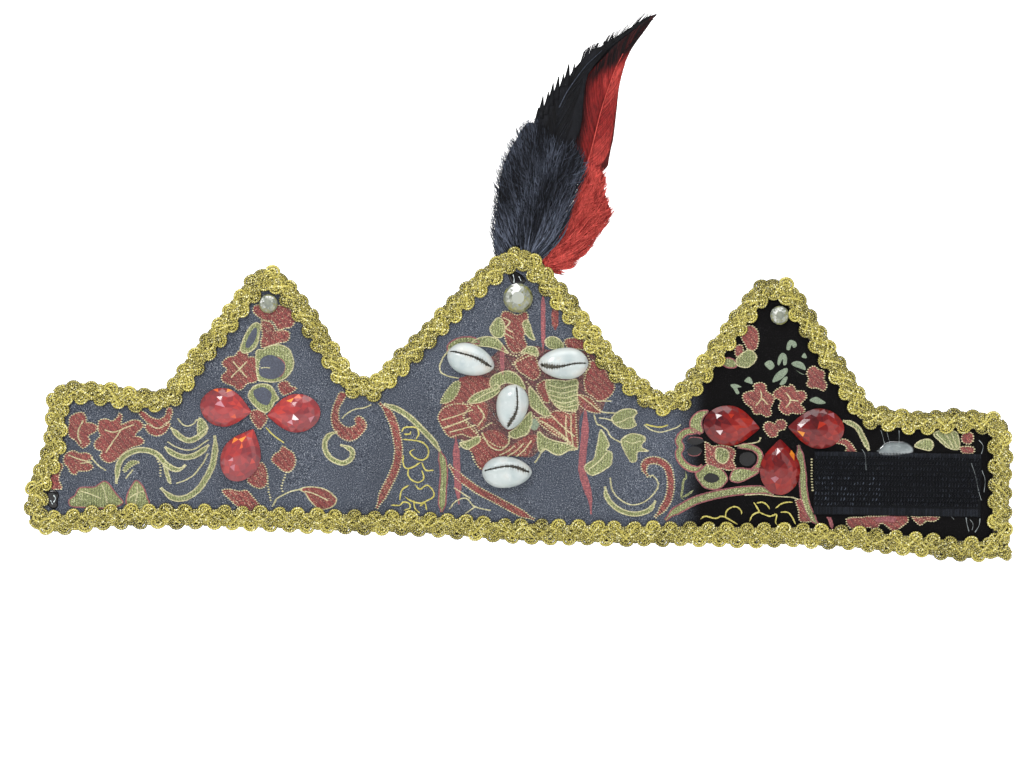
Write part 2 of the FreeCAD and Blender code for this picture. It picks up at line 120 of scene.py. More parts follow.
# The woven flowers, lowest layer first. An entry is "thread edge [width]: x,z x,z ...;".
# With a width it is a band along the points, without one it is a filled ring, and the thread
# "line" is a bare line. Edges: sparse or dense stitches, a pink or gold cord, or plain.
MOTIFS = (
    # left end
    read_motifs("""
red sparse: -268.8,25 -265.2,27.5 -261,28 -259.1,24.7 -259.1,22.3 -255.5,21.8 -252.4,20.1
  -252.9,17.1 -255.9,15.2 -257.6,14 -256.3,11 -257.5,8.6 -260.4,6.7 -262.9,8.4 -265.4,11.3
  -268.4,13 -269.7,16.6 -269.2,20.8;
red sparse: -251.3,23.2 -249.5,24.4 -246.5,24.5 -243.5,23.4 -240.6,25.9 -239.4,28.3 -237.6,26.6
  -238,21.7 -234.5,23.1 -230.9,24.4 -227.3,24.2 -224.9,22.1 -225.4,19.7 -228.3,17.2 -229.4,14.8
  -226.4,14.3 -224,12 -226.3,9.5 -231,8.1 -234.6,5.6 -238.1,2.5 -241.6,-0.6 -245.2,-1.6
  -248.2,-0.2 -250.1,2.2 -249,5.2 -252.6,6.3 -253.9,9.3 -252.2,12.3 -250.4,14.2 -251.7,17.7
  -251.8,20.7;
red sparse: -271.7,1.5 -269.3,4 -265.8,5 -262.7,3.6 -258.5,4 -255.5,2.6 -254.8,0.2 -257.8,-1
  -254.1,-3.9 -255.8,-6.4 -260,-7.1 -263,-7.2 -264.1,-9.3 -267.2,-8.5 -269.1,-5 -271.5,-2.7;
line dense: -268.7,2.2 -262.6,0 -255.4,-1.6;
line dense: -255.4,-1.6 -261.3,-2.4;
line dense: -247.5,17.9 -242.7,16.8 -238.5,18.1 -234.4,20.1 -230.8,21.4;
line dense: -246.5,4.7 -243.7,9.6 -240.8,13.9 -238.5,17.5;
line dense: -260.9,22.9 -263.2,18.6 -263.6,13.8 -261.7,9.6;
red sparse: -279.8,-7.1 -276.9,-4 -273.3,-2.7 -272.1,-5.7 -273.8,-8.1 -274.2,-12.9 -272.3,-17.7
  -275.9,-18.4 -279.5,-17.9;
red sparse: -228.1,30.4 -224.5,29.4 -220.2,26.5 -215.3,25.4 -211.8,27.9 -210.7,32.2 -207.7,31.7
  -208.2,26.8 -210.5,22.6 -215.2,20 -220,21.1 -224.3,24.6 -227.4,28.1;
red sparse: -223.6,21.6 -220.7,22.3 -217.6,20 -214,20.7 -210.5,23.8 -208.7,22.6 -210.4,19
  -212.7,16.5 -216.8,15.2 -220.5,16.3 -222.9,18.6;
olive dense 2.7: -240,-13.7 -239.5,-8.9 -239.1,-3.5 -236.8,1.4 -232.7,4.5 -228,6.4 -223.2,6.6
  -218.4,5.5 -214.7,3.2 -212.8,0.9 -209.7,-2 -205.5,-4.3 -201.9,-4.2 -198.9,-1.7;
olive sparse: -236,-5.8 -234.3,-2.2 -230.8,0.1 -226.6,-0.7 -230.1,-2.6 -233.1,-5.1 -234.8,-7;
line dense: -234.1,-10.5 -230.6,-5.6;
line sparse: -215.8,1.4 -213.9,-2.7 -213.7,-8.7;
olive dense 1.8: -211.6,-0.9 -209.6,-7.4 -207.6,-12.8;
line dense: -255.5,1.4 -251.1,-3.3 -246.8,-6.1;
line dense: -204,25.8 -201.5,22.8 -198.4,21.7 -194.9,23 -193.1,25.5;
olive dense 2.7: -208,20.2 -204.9,17.3 -201.2,14.4 -197,13.1 -192.8,14.7 -188.1,18.4 -186.4,20.9;
olive dense: -191.4,26.7 -188.3,25 -186.4,20.9 -188.7,17.2 -191.1,15.9 -192.4,21.3;
line dense: -209.5,11.8 -205.9,9.5 -201,7.8 -196.8,7.4 -192.6,8.7 -188.5,11.8 -185.6,13.7;
olive dense 2.7: -211.3,8.7 -207.6,5.8 -202.7,3.6 -197.9,3.1 -193.1,4.5 -188.4,7.6 -185.5,10.7;
olive dense 3.0: -212.9,-15.9 -209.2,-19.4 -204.9,-21.7 -200.1,-21.8 -196,-20.2 -191.9,-17.1
  -188.4,-12.8 -185,-6.7 -182.7,-1.2 -181.7,4.8 -181.3,10.8 -181.8,16.2;
line dense: -203.4,-12.6 -198.7,-10.7 -194,-7.6 -190.5,-3.3 -187.6,1 -185.9,5.3;
olive pink: -267.9,-24.8 -264.4,-21.7 -262.1,-17.4 -257.9,-16.7 -253.1,-16.5 -250.2,-14.6
  -247.2,-12.7 -244.2,-14.5 -241.1,-18.6 -238,-22.1 -235.5,-25 -239,-27.5 -249.7,-29
  -259.4,-28.7 -266.6,-28.3;
line dense: -260.8,-19.1 -254.8,-20.8 -249.3,-23;
line dense: -248.4,-15.2 -246.4,-19.9 -245.1,-25.3;
olive pink: -233.6,-25.5 -233.2,-20.7 -231.5,-16.5 -229.2,-12.8 -228.1,-11.6 -225.6,-13.3
  -223.1,-16.8 -221.1,-22.2 -219.9,-25.1 -222.8,-28.2 -230,-28.4;
line dense: -227.4,-14 -227.2,-19.3 -228.2,-25.4;
line dense: -231.4,-21.9 -227.2,-19.3 -223.7,-18;
""")
    # left peak
    + read_motifs("""
red sparse: -160.4,94.9 -156.2,95.6 -142.4,95.4 -138.1,92.5 -135.5,87.2 -137.8,82.9 -141.4,82.2
  -145.6,80.9 -148.1,84.4 -149.9,86.2 -153.5,86.1 -157.8,88.4 -160.9,91.3;
red sparse: -155.9,86 -151.1,85.6 -148.6,83.2 -147.3,80.3 -143.2,81 -138.9,79.3 -140,74.5
  -144.7,73.1 -150.7,71.2 -154.8,69.8 -156.1,72.8 -155.1,77.6;
olive dense: -168,68.8 -166.9,73.1 -165.3,77.3 -163,81.6 -160.7,84.1 -158.3,84.7 -156.4,83
  -156.9,78.8 -157.4,74 -159.1,70.3 -162.6,67.2 -166.1,66.5;
slate plain: -165.1,70.7 -164,75 -162.3,78.6 -160,81.7 -158.5,81.1 -158.7,76.9 -160.3,72.7
  -163.2,69.6;
red sparse: -178.6,60.7 -175.1,63.8 -171.5,64.5 -169.2,67.6 -166.2,68.3 -163.7,66.6 -163.1,64.2
  -160.1,64.3 -157,62 -156.3,58.4 -158,55.9 -156.7,52.4 -158.4,49.3 -162,48.6 -164.4,47.3
  -166.1,44.9 -169.1,44.2 -171.6,46.5 -175.2,47.6 -178.2,49.3 -178.9,52.3 -176.6,54.8
  -175.5,56.6 -177.9,58.3;
line dense: -172,60.9 -168.3,56.8 -163.9,52.2;
line dense: -164.2,61.2 -168.3,56.8 -172.9,51.9;
olive dense: -158.4,67.3 -154.2,68.7 -151.9,70.5 -147.1,71.9 -142.3,71.4 -138.6,69.1 -136.7,65
  -135.9,60.2 -137.6,55.9 -140.5,52.3 -144.7,50.3 -148.8,49.6 -153.7,50.1 -157.3,51.8;
slate plain: -156.4,60.8 -154.1,64.5 -149.3,65.8 -145.1,64.1 -141.4,60.6 -141.3,57 -143.5,53.4
  -147.7,51.4 -153.1,51.9 -156.2,54.2;
pink plain 1.4: -146.3,65.3 -142,61.8 -141.3,57.6 -143.5,53.4 -147.1,52.1;
line dense: -155.1,57.8 -152.7,58.2 -150.3,58;
olive dense: -162.4,41.4 -160.5,37.3 -157.4,34.3 -154.3,32 -150.7,31.5 -148.4,34 -146.7,37.7
  -144.3,39.5 -145.6,41.9 -149.4,47.2 -154.8,48.2 -159.5,46.3;
slate plain: -159.5,43.9 -154.7,46.4 -151.1,45.3 -148.6,42.4 -149.1,38.8 -150.8,35.7 -155.1,36.8
  -158.1,39.7;
red sparse: -144.6,48.5 -141.7,50.4 -138.6,49.9 -137.4,47.5 -133.7,46.5 -136.1,44 -139,42.7
  -142,42 -143.9,45;
red sparse: -160.3,31.9 -156.7,32.6 -152.5,30.9 -150.6,27.9 -152.3,24.3 -155.2,21.2 -158.3,24.1
  -160.8,28.2;
red sparse: -141.1,11.4 -138,9.7 -134.4,7.4 -133,2.7 -134.1,-1.6 -137,-4.1 -140.1,-3.6
  -144.4,-0.1 -147.4,2.8 -145.8,6.5 -142.8,8.4;
line sparse: -138.2,-4.1 -139.9,-9 -141,-13.2 -140.3,-15.6;
line gold: -151.6,22.5 -146.1,17.3 -140,13.3;
line dense: -146,-24.7 -143.8,-20.5 -140.2,-18 -134.9,-15.4 -128.9,-14;
red dense: -130.1,-14.1 -126,-12.7 -120.6,-12.6 -115.1,-13.6 -110.3,-16.5 -107.8,-20 -110,-23.7
  -114.8,-25.6 -119,-25.1 -122.1,-22.2 -124.6,-19.3 -127.1,-15.8;
line dense: -126.5,-15.2 -120.5,-16.8 -113.2,-20.2;
red sparse: -176.3,-16 -171.5,-15.3 -166.1,-16.3 -161.9,-15.6 -158.8,-18.5 -155.7,-22
  -152.6,-25.5 -154.9,-28 -162.1,-28.2 -167,-25.4 -171.3,-21.9 -174.4,-19;
red sparse: -156.3,-1 -153.4,1.4 -150.9,-1.5 -149.6,-6.8 -150,-11.7 -152.9,-14.1 -156.6,-13.7
  -159.6,-11.9 -161.5,-9;
line sparse: -149.5,-8 -148.7,-15.2 -147.3,-21.2;
red sparse: -107.3,44.8 -103.6,43.7 -105.3,40.1 -107.6,35.8 -108.1,31 -107.4,27.4 -104.3,24.5
  -100.7,24 -97.7,25.9 -98.4,28.9 -96.1,30.8 -93,29.1 -91.1,24.9 -93.4,20.6 -97.4,16.9
  -101.6,15.6 -105.9,17.3 -109.6,20.8 -112.1,26.1 -112.3,32.1 -110.7,38.1 -109,42.4;
line dense: -105.6,29.3 -102.7,32.4 -98,34.9 -93.2,35.7 -89.1,37.6;
olive dense 2.4: -109,20.8 -112.5,19.5 -114.9,17 -115.9,13.4 -115.2,9.2 -112.7,5.7 -109,3.4
  -104.8,2.3 -100.7,4.2 -99,7.3 -99.6,10.2 -102.7,12 -106.3,13.1;
red sparse 4.8: -83.7,38.9 -78.7,33.7 -74.9,26.6 -72.9,18.8 -71.5,11.1 -72.4,2.7 -75.2,-5.2
  -78.6,-12.5 -83.6,-24.1;
""")
    # between the peaks
    + read_motifs("""
olive dense 2.7: -80.7,38.4 -74.6,36.2 -69.1,33.4 -64.2,29.9 -59.3,25.3 -54.3,20.6 -50,15.9
  -46.9,11.2;
olive pink 4.2: -46.9,11.2 -44.9,4.7 -44,-3.1 -44.4,-12.1 -44.6,-25.3;
line gold: -70,21.9 -68.9,24.4 -65.3,25.1 -61.1,24.6 -59.8,21 -61.5,18;
line gold: -68.7,20.8 -65.1,20.9 -64.6,22.7;
line gold: -69.9,17.7 -63.8,17.3 -57.8,16.3 -54.1,12.8 -54,8 -57.5,5.5 -62.3,7.2 -64.8,10.1
  -61.9,12;
line gold: -68.4,8.2 -68.8,4 -66.9,0.4 -62.8,1.1 -58.1,4.3;
line gold: -65.1,0.5 -65.6,-3.1 -63.1,-6.7 -58.9,-7.8 -56,-5.3 -57.3,-0.5;
line gold: -57.5,4.3 -54.9,-0.4 -50.1,-0.3;
line gold: -61.3,-9 -58.2,-11.9 -54,-9.4 -50.4,-12.3 -49.7,-15.9 -53.2,-18.4 -57.9,-20.3
  -64,-18.7 -67,-16.4;
line gold: -70,-18.9 -68.9,-12.9 -64.8,-9.7;
line gold: -75.3,-22 -69.9,-21.9 -68.1,-20 -64.5,-20.5 -63.8,-23.5 -67.4,-24.8;
line gold: -61.6,-18.6 -60.8,-23.4 -57.7,-26.3;
line gold: -57.9,-22.1 -54.9,-20.2 -53.6,-24.4;
red sparse 4.2: -41.2,3 -35.6,-2.9 -29.5,-7.5 -22.2,-12.1 -14.2,-16 -5.1,-20.6 5.3,-25.7
  10.7,-27.9;
pink plain 4.2: -37.5,20.5 -36.3,0.1 -34.5,-20.2;
pink plain 2.7: 12.1,109 13.2,72.4;
pink plain 4.5: 39.3,42.6 39.7,26.4 38.9,14.4 38.6,2.3 41.3,-6.6 44,-15.5 44.8,-23.9;
red plain 4.2: 19.5,100.2 20,85.8;
line dense: -39.8,-22.8 -36.4,-18.5 -30.4,-16.5 -26.1,-20.6 -21.8,-22.3 -15.8,-23.3;
line dense: -37.2,-10.7 -28,-16.4;
line dense: -30.2,-25.5 -24.9,-21.7;
""")
    # centre peony
    + read_motifs("""
shade plain: -47,37 -43.6,43.1 -38.5,51.7 -31.4,57.9 -23.2,64.1 -15.6,70.4 -9.8,75.9 -0.7,73.2
  8.9,75.9 16.1,73.7 26.4,72.8 40.1,73.2 49.4,65.1 55.7,54.5 51.8,45.4 48.4,36.9 40,38.4
  36,32.3 35.8,16.1 25.1,13.4 13.7,13.6 7.2,9.2 -6,9.4 -17.9,5.5 -21.3,0.6 -25.1,5.3 -28.9,13.5
  -33.9,18.2 -41.1,19.8 -46.1,26.8;
olive pink 3.6: -43.8,70.7 -41.5,75 -36.8,77.5 -30.8,78.3 -24.8,76.7;
line dense: -43.3,71.9 -46.7,67 -48.4,62.2 -47.7,58.6 -43.4,56.3 -37.4,55.3;
olive dense: -29.6,76.6 -24.9,79.7 -18.9,80.5 -14,78.8 -10.3,74.7 -7.8,71.2 -12.7,72.9
  -18.7,74.5 -24.7,74.9;
olive dense: -19,84.7 -17.3,88.9 -14.4,92 -11.4,90.3 -10,84.9 -11.7,80.7 -15.9,80.6;
red sparse: -11.5,95.7 -7.3,95.8 -3.1,94.1 2.2,96.1 3.6,92.5 2.5,87.7 1.5,80.5 3.4,76.3
  0.5,72.6 -4.2,71.3 -7.9,74.8 -9.9,80.1 -11.3,86.1 -12.6,92.1;
line dense: -10.8,92.1 -7.2,89.8 -9.5,86.2 -5.8,83.9;
line dense: -9.4,82.6 -5.1,80.3;
olive dense: 0.6,89.5 3,91.3 4.9,88.4 6.2,83.6 8.1,79.5 5.1,80.6 2,84.1;
olive dense: 14.2,79.1 17.1,81.5 21.3,81.1 24.4,78.2 25.1,75.2 20.3,74.4 16.1,75.5;
red sparse: 26.1,80 35.1,81.5 38.8,77.4 40.1,74.4 34.1,74.8 28.1,75.3;
red sparse: 40.4,64.8 42.7,67.9 47.5,68 50,63.9 53.2,58.6 56.3,54.5 55.9,49.7 51.8,45.4 47,44
  43.3,46.9 39.7,49.2 38.3,55.2 39.3,60.6;
red sparse: 34.9,47.3 42.2,45.7 45.9,41.6 49,37.5 45.4,36.8 40,38.4 35.7,41.9;
olive dense: 15.5,55.1 21.5,55.9 27.5,55.4 34,56.2 34.3,48.4 34.6,38.8 30.4,37.5 24.4,38.5
  19.4,43.2 16.3,49.1;
line dense: 17.3,52.7 25.2,51.2 33.5,53.2;
line dense: 17.4,49.7 25.3,48.2 33.6,50.2;
line dense: 18.7,46.8 26,45.2 33.7,47.2;
line dense: 20.6,43.8 26.7,42.2 33.8,44.2;
line dense: 23.1,40.9 27.9,39.8 33.9,41.2;
red sparse: 10.7,53.1 14.9,55.7 17.9,54.6 17.5,46.7 17.6,42.5 14.6,42.5 12.7,46 10.2,49.5;
red sparse: 10.8,31.5 13.1,33.4 18.5,33 19.6,36.6 25,37.4 30.5,35.7 33.4,37.6 34.2,29.2
  35.1,20.3 35.3,14.9 30.5,14.7 27.9,20 21.8,22.9 15.7,26.9;
line dense: 13.8,31 22.3,25.9 31,18.9;
line dense: 19.7,34.2 25.9,28.4 33.2,22.6;
line dense: 28.1,34.4 28.3,26.1 29.8,17.7;
line dense: 31.1,34.5 31.3,26.1 32.8,16.6;
olive dense: 11.6,24.4 15.9,21.5 20.1,19.8 25,18.7 29.8,17.7 35.3,14.9 32.3,14.8 28.1,12.8
  24.6,10.9 20.4,12 16.7,14.3 13.7,12.4 11.8,15.4;
line dense: 10.3,6.3 13.2,10.6 14.9,14.2 17.9,13.7 22.2,11.5 26.4,11.6 31.1,14.7 35.3,14.9;
olive dense: -18.1,53.5 -16.4,57.1 -12.3,59.1 -7.5,60.4 -2.6,58.7 1.1,54.7 3,49.9 -0.6,51.6
  -6.1,53.2 -10.9,52.5 -14.4,48.8 -16.8,49.9;
olive dense: 5.4,50.6 7.8,49.5 10.9,45.9 14.1,41.2 17.2,37.7 18.5,34.8 15.5,34.1 11.8,35.8
  8.8,38.1 6.3,41;
olive dense: 4.7,34.4 7,36.2 7.8,31.4 6.7,26.6 5,23 2.1,21.7 -2.7,20.3 -5.8,23.2 -1.7,26.4
  1.8,30.7;
pale plain: 7.2,31.4 10.2,32.1 12,29.2 10.3,25.5 7.3,26.6;
olive sparse: -47.1,40 -46,43.7 -43.2,48.5 -39.1,52.9 -36.1,53 -36.5,48.1 -38.8,43.9 -42.3,40.8;
red plain: -36.2,55.4 -27.2,56.8 -19.4,55.9 -15.1,53 -19.1,47.5 -25,44.3 -31,42.3 -36.3,39.1
  -41.6,37.2 -45.3,39.5 -40.6,42 -37.1,46.9 -35.4,51.2;
olive dense: -30.9,41.1 -27.5,45.4 -22.7,47.9 -17.4,49.9 -13.9,52.4 -12,48.9 -15.4,45.2
  -20.2,42.6 -25.5,40.7;
line dense: -27.4,41.8 -21.5,45.6 -15,48.8;
red sparse: -47.5,34.6 -44.6,37.7 -38.7,39.7 -32.7,39.8 -28.5,39.4 -32,35.1 -33,31.4 -29.3,27.9
  -25.6,24.5 -24.3,20.9 -29.1,20.1 -34,21.8 -38.1,20.5 -41.1,19.8 -44.2,22.7 -46.7,26.8 -48.6,31;
line dense: -29.4,31.5 -36.6,28.3 -44.3,25.1;
line dense: -26.3,27.4 -34.1,24.8 -41.2,22.8;
line dense: -28.4,36.4 -37.9,32.5 -46.2,29.8;
red plain: -28.5,39.4 -21.3,41.4 -18.8,36.7 -19.8,30.6 -23.2,24.5 -25.7,27.4 -30.7,33.3;
line dense: -24.9,38.9 -21.1,33 -24.5,26.9;
red plain: -23.1,20.9 -17.2,24.7 -11.2,23.7 -6.3,19 -7.9,14.2 -13.9,12.8 -18.8,15.1;
line dense: -22,22.8 -17,15.1 -10.9,12.9 -6.2,16.6 -5.1,21.5;
red plain: -26.1,18.4 -21.9,19.8 -18.1,13.9 -10.9,12.3 -5,15.5 0.9,19.2 6.8,22.4 11.1,21.9
  8.8,16.5 6,10.4 1.2,9.6 -6,10 -12,9.2 -17.9,5.5 -20.1,0.6 -23.8,2.3 -25.8,9.4 -30.1,13.5;
line dense: -10.8,9.9 -6.1,12.4 -2.6,15.5;
line dense: -6,9.4 -1.3,12.6 2.8,16.9;
line dense: -0.6,9.6 3.5,13.3 7.5,18.8;
line sparse: -33.9,18.2 -31.3,14.7 -28.2,11.2 -26.3,6.4 -23.8,2.9 -20.7,0.6;
olive dense: -35,16.4 -29.1,18.3 -24.3,20.9 -23,17.9 -27.7,14.2 -31.3,12.9;
red sparse: -3.5,65.9 0.6,69.6 5.4,72.2 9.1,68.7 10.4,63.9 11.7,59.2 8.3,55.5 3.4,57.7
  -1.5,61.2;
olive dense: 0.6,72 4.1,75.2 8.9,74.7 10.2,69.9 5.4,71;
pink plain 3.0: -11,75.9 -11.3,66.9 -10.4,57.9;
line sparse: -33.6,40.6 -30.2,37.2 -33.4,32 -26.2,23.2 -18.2,18.1 -11.7,14.8 -6.5,16 -5.7,21.4;
line sparse: -25.2,23.3 -16.8,28.9;
line sparse: -45.5,25.3 -34.2,29.1 -30.6,31;
line sparse: -35.5,14.1 -28.6,18.7;
line sparse: 8.8,33.9 16.9,28.1 25.9,22.1 32.2,17.2;
line sparse: 17.2,46.7 21.8,41.5 28,38 33.4,38.6;
line sparse: -4.6,64.4 0.7,68 7.8,71.1;
line sparse: 3.8,54.1 8.4,48.9 13.9,42;
line sparse: -9.6,71.7 -3,69.5 1.8,72.1;
line sparse: 40.2,70.8 41.6,64.9 38.1,60;
line dense: 35.5,47.3 42,42.8 49,37.8 57.2,37.1;
line dense: 46.4,44 54.2,44.2;
""")
    # right of centre
    + read_motifs("""
olive dense: 55.7,34.1 58,37.1 62.2,39.4 66.9,39.8 70,38.7 70,36.9 68.3,35 69.6,31.5 70.2,30.3
  66.7,28.4 61.9,28.2 58.2,29.9 55.8,32.3;
line dense: 57,31.1 61.8,32.4 65.3,34.4 68.9,35.1;
olive dense: 61.5,20.4 63.2,22.9 66.8,24.8 70.4,24.9 74.6,23.8 75.9,21.5 74.2,19.6 73.6,17.2
  75.5,16 77.9,14.9 74.3,14.8 71.3,14.1 70.9,9.3 69.1,8.1 67.3,8.6 64.8,12.7 62.8,16.3;
line dense: 63.9,20.5 68.2,19.4 72.9,20.8;
olive dense: 49.3,26.7 51.2,24.3 53.1,20.8 54.4,17.8 52.7,14.8 55.7,13.7 56.4,10.1 55.4,5.8
  52.4,3.4 48.3,0.8 44.7,-0.5 41.7,1.2 39.8,4.2 42.1,6.7 45.6,9.2 46.7,14.6 47.7,20 48.2,24.2;
line dense: 42.8,3.1 48.1,7.4 52.7,13;
line dense: 44.9,35.5 46.8,30.2 48.6,29.7;
line dense: 48.5,33.9 52.7,33.4 56.4,32.3;
line dense: 48.6,29.7 52.9,26.8 55.5,22.7 60.9,19.8;
olive dense 2.4: 52.7,-7.4 53.5,-12.2 56.6,-16.9 62.1,-21 68.8,-22.9 74.8,-22.4 80.1,-19.8
  83,-14.9;
line dense: 55.6,-2 56.3,-6.7 58.2,-10.9 62.6,-15 68.6,-17.5 74.6,-16.4 79.3,-13.3 83.4,-8.3
  84.5,-4.7 83.2,-1.7 80.7,0.6 79.6,-0.6;
red sparse 4.2: 78.3,-0.1 75.8,3.5 76.3,7.7 80.5,9.6 85.3,8.8 89.6,5.7 91.5,0.3 92,-6.3
  90.7,-13.5 87.3,-19.6 83.3,-24.5;
line dense: 75,30.4 79.3,27.6 84.8,26.5 90.1,27.9 94.9,29.8 96.6,31.1;
line gold: 75.6,31.1 79.8,30 84.7,29.5 89.4,30.9;
""")
    # right peak
    + read_motifs("""
red sparse: 131.5,89.1 133.8,91.6 138,91.7 141.1,88.8 141.9,84.6 141.4,79.8 139.7,77.4
  136.1,77.3 133.6,80.8 131.6,84.9;
red sparse: 128.2,78.8 131.8,80.1 133.1,76.6 131.4,72.9 128.4,74;
olive dense: 131.9,74.7 136.1,77.3 139.7,75.6 141,72.6 139.3,69.6 136.4,67.1 132.2,67
  129.1,68.7 129.6,72.3;
olive pink: 120.1,70.2 123.6,72.1 127.8,71 129.2,67.5 126.2,66.2 122,67.2;
pale plain: 158.8,78.5 159.3,82.2 161.1,84 164.1,82.9 164.8,80.5 163,79.3 161.8,81 160.7,78;
pale plain: 153.7,69.4 154.2,73.6 156.5,76.1 159,74.3 159.1,69.6 157.3,68.9 156.6,72.5
  154.9,68.8;
pale plain: 145.9,69.2 147.7,71 150.1,71.1 151.9,68.1 149.6,65.7 147.2,67.4;
pale plain: 162.1,70.2 165.7,71.5 169.3,69.9 170.6,66.3 166.4,67.4 163.3,68.5;
pale plain: 162.1,68.4 165.8,65.5 170.1,63.3 167.1,64.4;
pale plain: 151,58.5 152.1,62.1 155,65.2 159.2,67.2 159.8,64.8 157,61.1 154,59.2;
pale plain: 155.3,57.4 157.6,61.1 159.9,61.8 158.8,58.1 156.5,56.9;
pale plain: 134.2,58.6 136.5,61.1 138.4,59.9 139.1,57 136.7,57.5;
pale plain: 125.9,56 128.9,56.6 132.5,55 130.1,54.3 131.4,51.3 129.7,50.7 127.8,53.6;
pale plain: 173.5,48.4 177.1,50.3 180.1,49.2 183.2,46.9 179,46.1 175.4,47.2;
pale plain: 168,74 169.7,76.5 171,73.5;
red sparse: 140.3,57 143.8,58 146.9,56.6 147.6,53 149.4,51.9 152.5,49.5 152,46.5 150.3,42.9
  151,39.3 148.1,37.4 145,39.1 140.8,39 138.9,42.5 135.2,45.4 133.3,48.4 134.4,51.4 138,52.7
  140.4,53.4 139.7,55.8;
red sparse: 154.2,54.4 157.1,56.3 160.7,55.8 161.9,57.6 164.3,55.9 165.6,53.5 169.8,53.7
  171.7,50.7 170,47.7 168.2,45.8 170.7,42.9 170.2,40.5 166.6,39.8 163,40.3 160.6,39 157,40.7
  155.1,43.6 156.2,47.3 152.5,49.5 151.8,52.5;
red sparse: 171.3,63.9 172.4,66.9 175.3,68.8 178.4,67.1 182,65.4 181.6,61.2 183.5,57.7 181.8,54
  178.1,55.7 173.9,55.6 171.5,57.9 172.6,60.9;
line dense: 144,52.9 144.7,48.7 141.8,44.4;
line dense: 144.7,48.7 148.4,45.2;
line dense: 159.6,52.2 162.1,48 159.9,43.8;
line dense: 162.1,48 166.4,47.6;
red sparse: 146.4,31.4 148.1,34.4 151.1,34.5 153,33.4 154.7,35.8 158.3,35.9 160.2,33.6
  159.1,30.5 155.5,29.2 154.4,26.2 150.8,25.5 148.3,27.8;
olive pink: 102.7,29.5 102.5,33.7 104.8,37.3 108.4,39.8 113.2,40 110.3,36.3 109.2,32.1
  110.5,27.9 108.8,26.6 104.5,27.7;
olive pink 3.6: 108.8,26.6 102.7,27.7 98,25.7 95.7,21.4 97.6,17.9 95.9,14.3 97.9,9.5 102.2,6
  107,5 110.5,7.5;
black plain: 101.1,21.6 102.8,23.5 105.8,23.9 109.5,23.4 111,21.9 108.9,20.3 105.4,19.6
  102.3,20.1;
black plain: 101.3,15.6 103,17.8 106,18.5 109,17.6 110,15.9 107.9,13.7 105,13 102.5,13.8;
pink plain 1.0: 101.1,21.6 102.8,23.5 105.8,23.9 109.5,23.4 111,21.9;
pink plain 1.0: 101.3,15.6 102.5,13.8 105,13 107.9,13.7 110,15.9;
red sparse: 111.9,21.3 116.2,19.1 121,19.8 127,18.8 130.1,15.9 129,11 130.4,6.3 126.2,4.9
  121.4,6 116.6,4.7 112.9,8.8 112.1,15.3;
olive dense: 118.6,17.3 122.2,18 125.9,15.7 125.4,10.9 122.5,9 118.8,11.3;
olive pink: 106.5,2 109.4,4.4 113.5,8.2 118.3,7.1 122.6,4.8 124.5,2.5 125.8,-0.5 122.9,-4.8
  118.8,-6.7 113.3,-6.2 109.6,-3.3;
black plain: 111.4,-0.3 114.3,2.8 118.5,2.3 121,0 118.6,-2.5 114.4,-2.6;
olive pink: 127.5,1.4 129.2,5 133.4,6.4 138.2,5.9 143.6,6.7 144.2,4.3 139.5,1.1 134.8,-1.4
  131.2,-2.1 127.6,-1;
olive pink 3.0: 131.2,18.9 136,19.6 140.8,18.6 144.5,15.7 145.2,11.5 143.5,7.3 139.4,5.3;
black plain: 132.6,11.7 133.7,14.8 137.3,16.1 140.9,15 142.2,12 140.5,9 137.5,7.7 133.9,8.8;
line dense: 130,19.5 135.9,20.8 143.1,22.3 144.8,24.7;
olive pink 4.5: 89.3,-26.2 93.4,-21.8 99.3,-18.1 105.8,-14.3 112.9,-11.7 120.6,-9.6 129,-7.9
  136.8,-6.7 142.7,-6.3 147.6,-6.4 153.6,-9.2;
line dense: 136.8,-9.7 145.8,-8.9 154.9,-9.8 163.9,-10.1 168.1,-11.2;
olive pink 4.2: 167.7,21.2 169.2,12.2 170.7,3.3 171.5,-5.7 173.6,-14.7 177.4,-22.3 181.2,-26.4;
red sparse: 166.9,-11.9 171.1,-11.7 173.7,-17.7 177.5,-23.5 170.3,-24.4 168.9,-17.8;
line sparse: 175.8,13 176.1,3.4 176.9,-5.6;
line gold: 110.3,-24.9 113.2,-23.1 119.3,-24.1 123.4,-22.7 128.3,-25 132.6,-27.3;
line gold: 125.2,-23.3 125.7,-19.7 128.7,-17.2 132.3,-17.1 134.7,-19.4 134.8,-21.2;
line gold: 139.7,-25.3 141.4,-21.6 144.9,-19.7 148,-20.8 152.2,-21.9 155.8,-20.6 155.3,-25.4
  156.6,-27.2;
line gold: 141.8,-13.8 144.3,-17.3 145.5,-19.7;
line gold: 143.6,-14.3 147.2,-13.6 150.2,-15.4 151.5,-17.7;
line gold: 155.1,-17 158,-14.5 161.6,-13.2 165.2,-13.1;
line gold: 158.1,-19.3 162.3,-19.2 164.8,-21.5 167.4,-26.2;
olive plain 1.4: 100.4,3.6 101.1,0 99.4,-2.5 99,-7.9 98.5,-12.1 100.4,-13.8;
olive plain 1.4: 99.1,-12.1 102.6,-10.2 105.6,-7.7;
red sparse: 190.5,23.1 194,25.6 197.7,24.5 200.8,21 202.7,17.4 199.1,17.3 196.1,17.8 196.6,20.8
  193.5,22.6;
olive dense 2.4: 194.3,36.4 199.8,34.7 203.4,31.8 206,27.1 207.9,23.6 209.8,19.4;
""")
    # right end
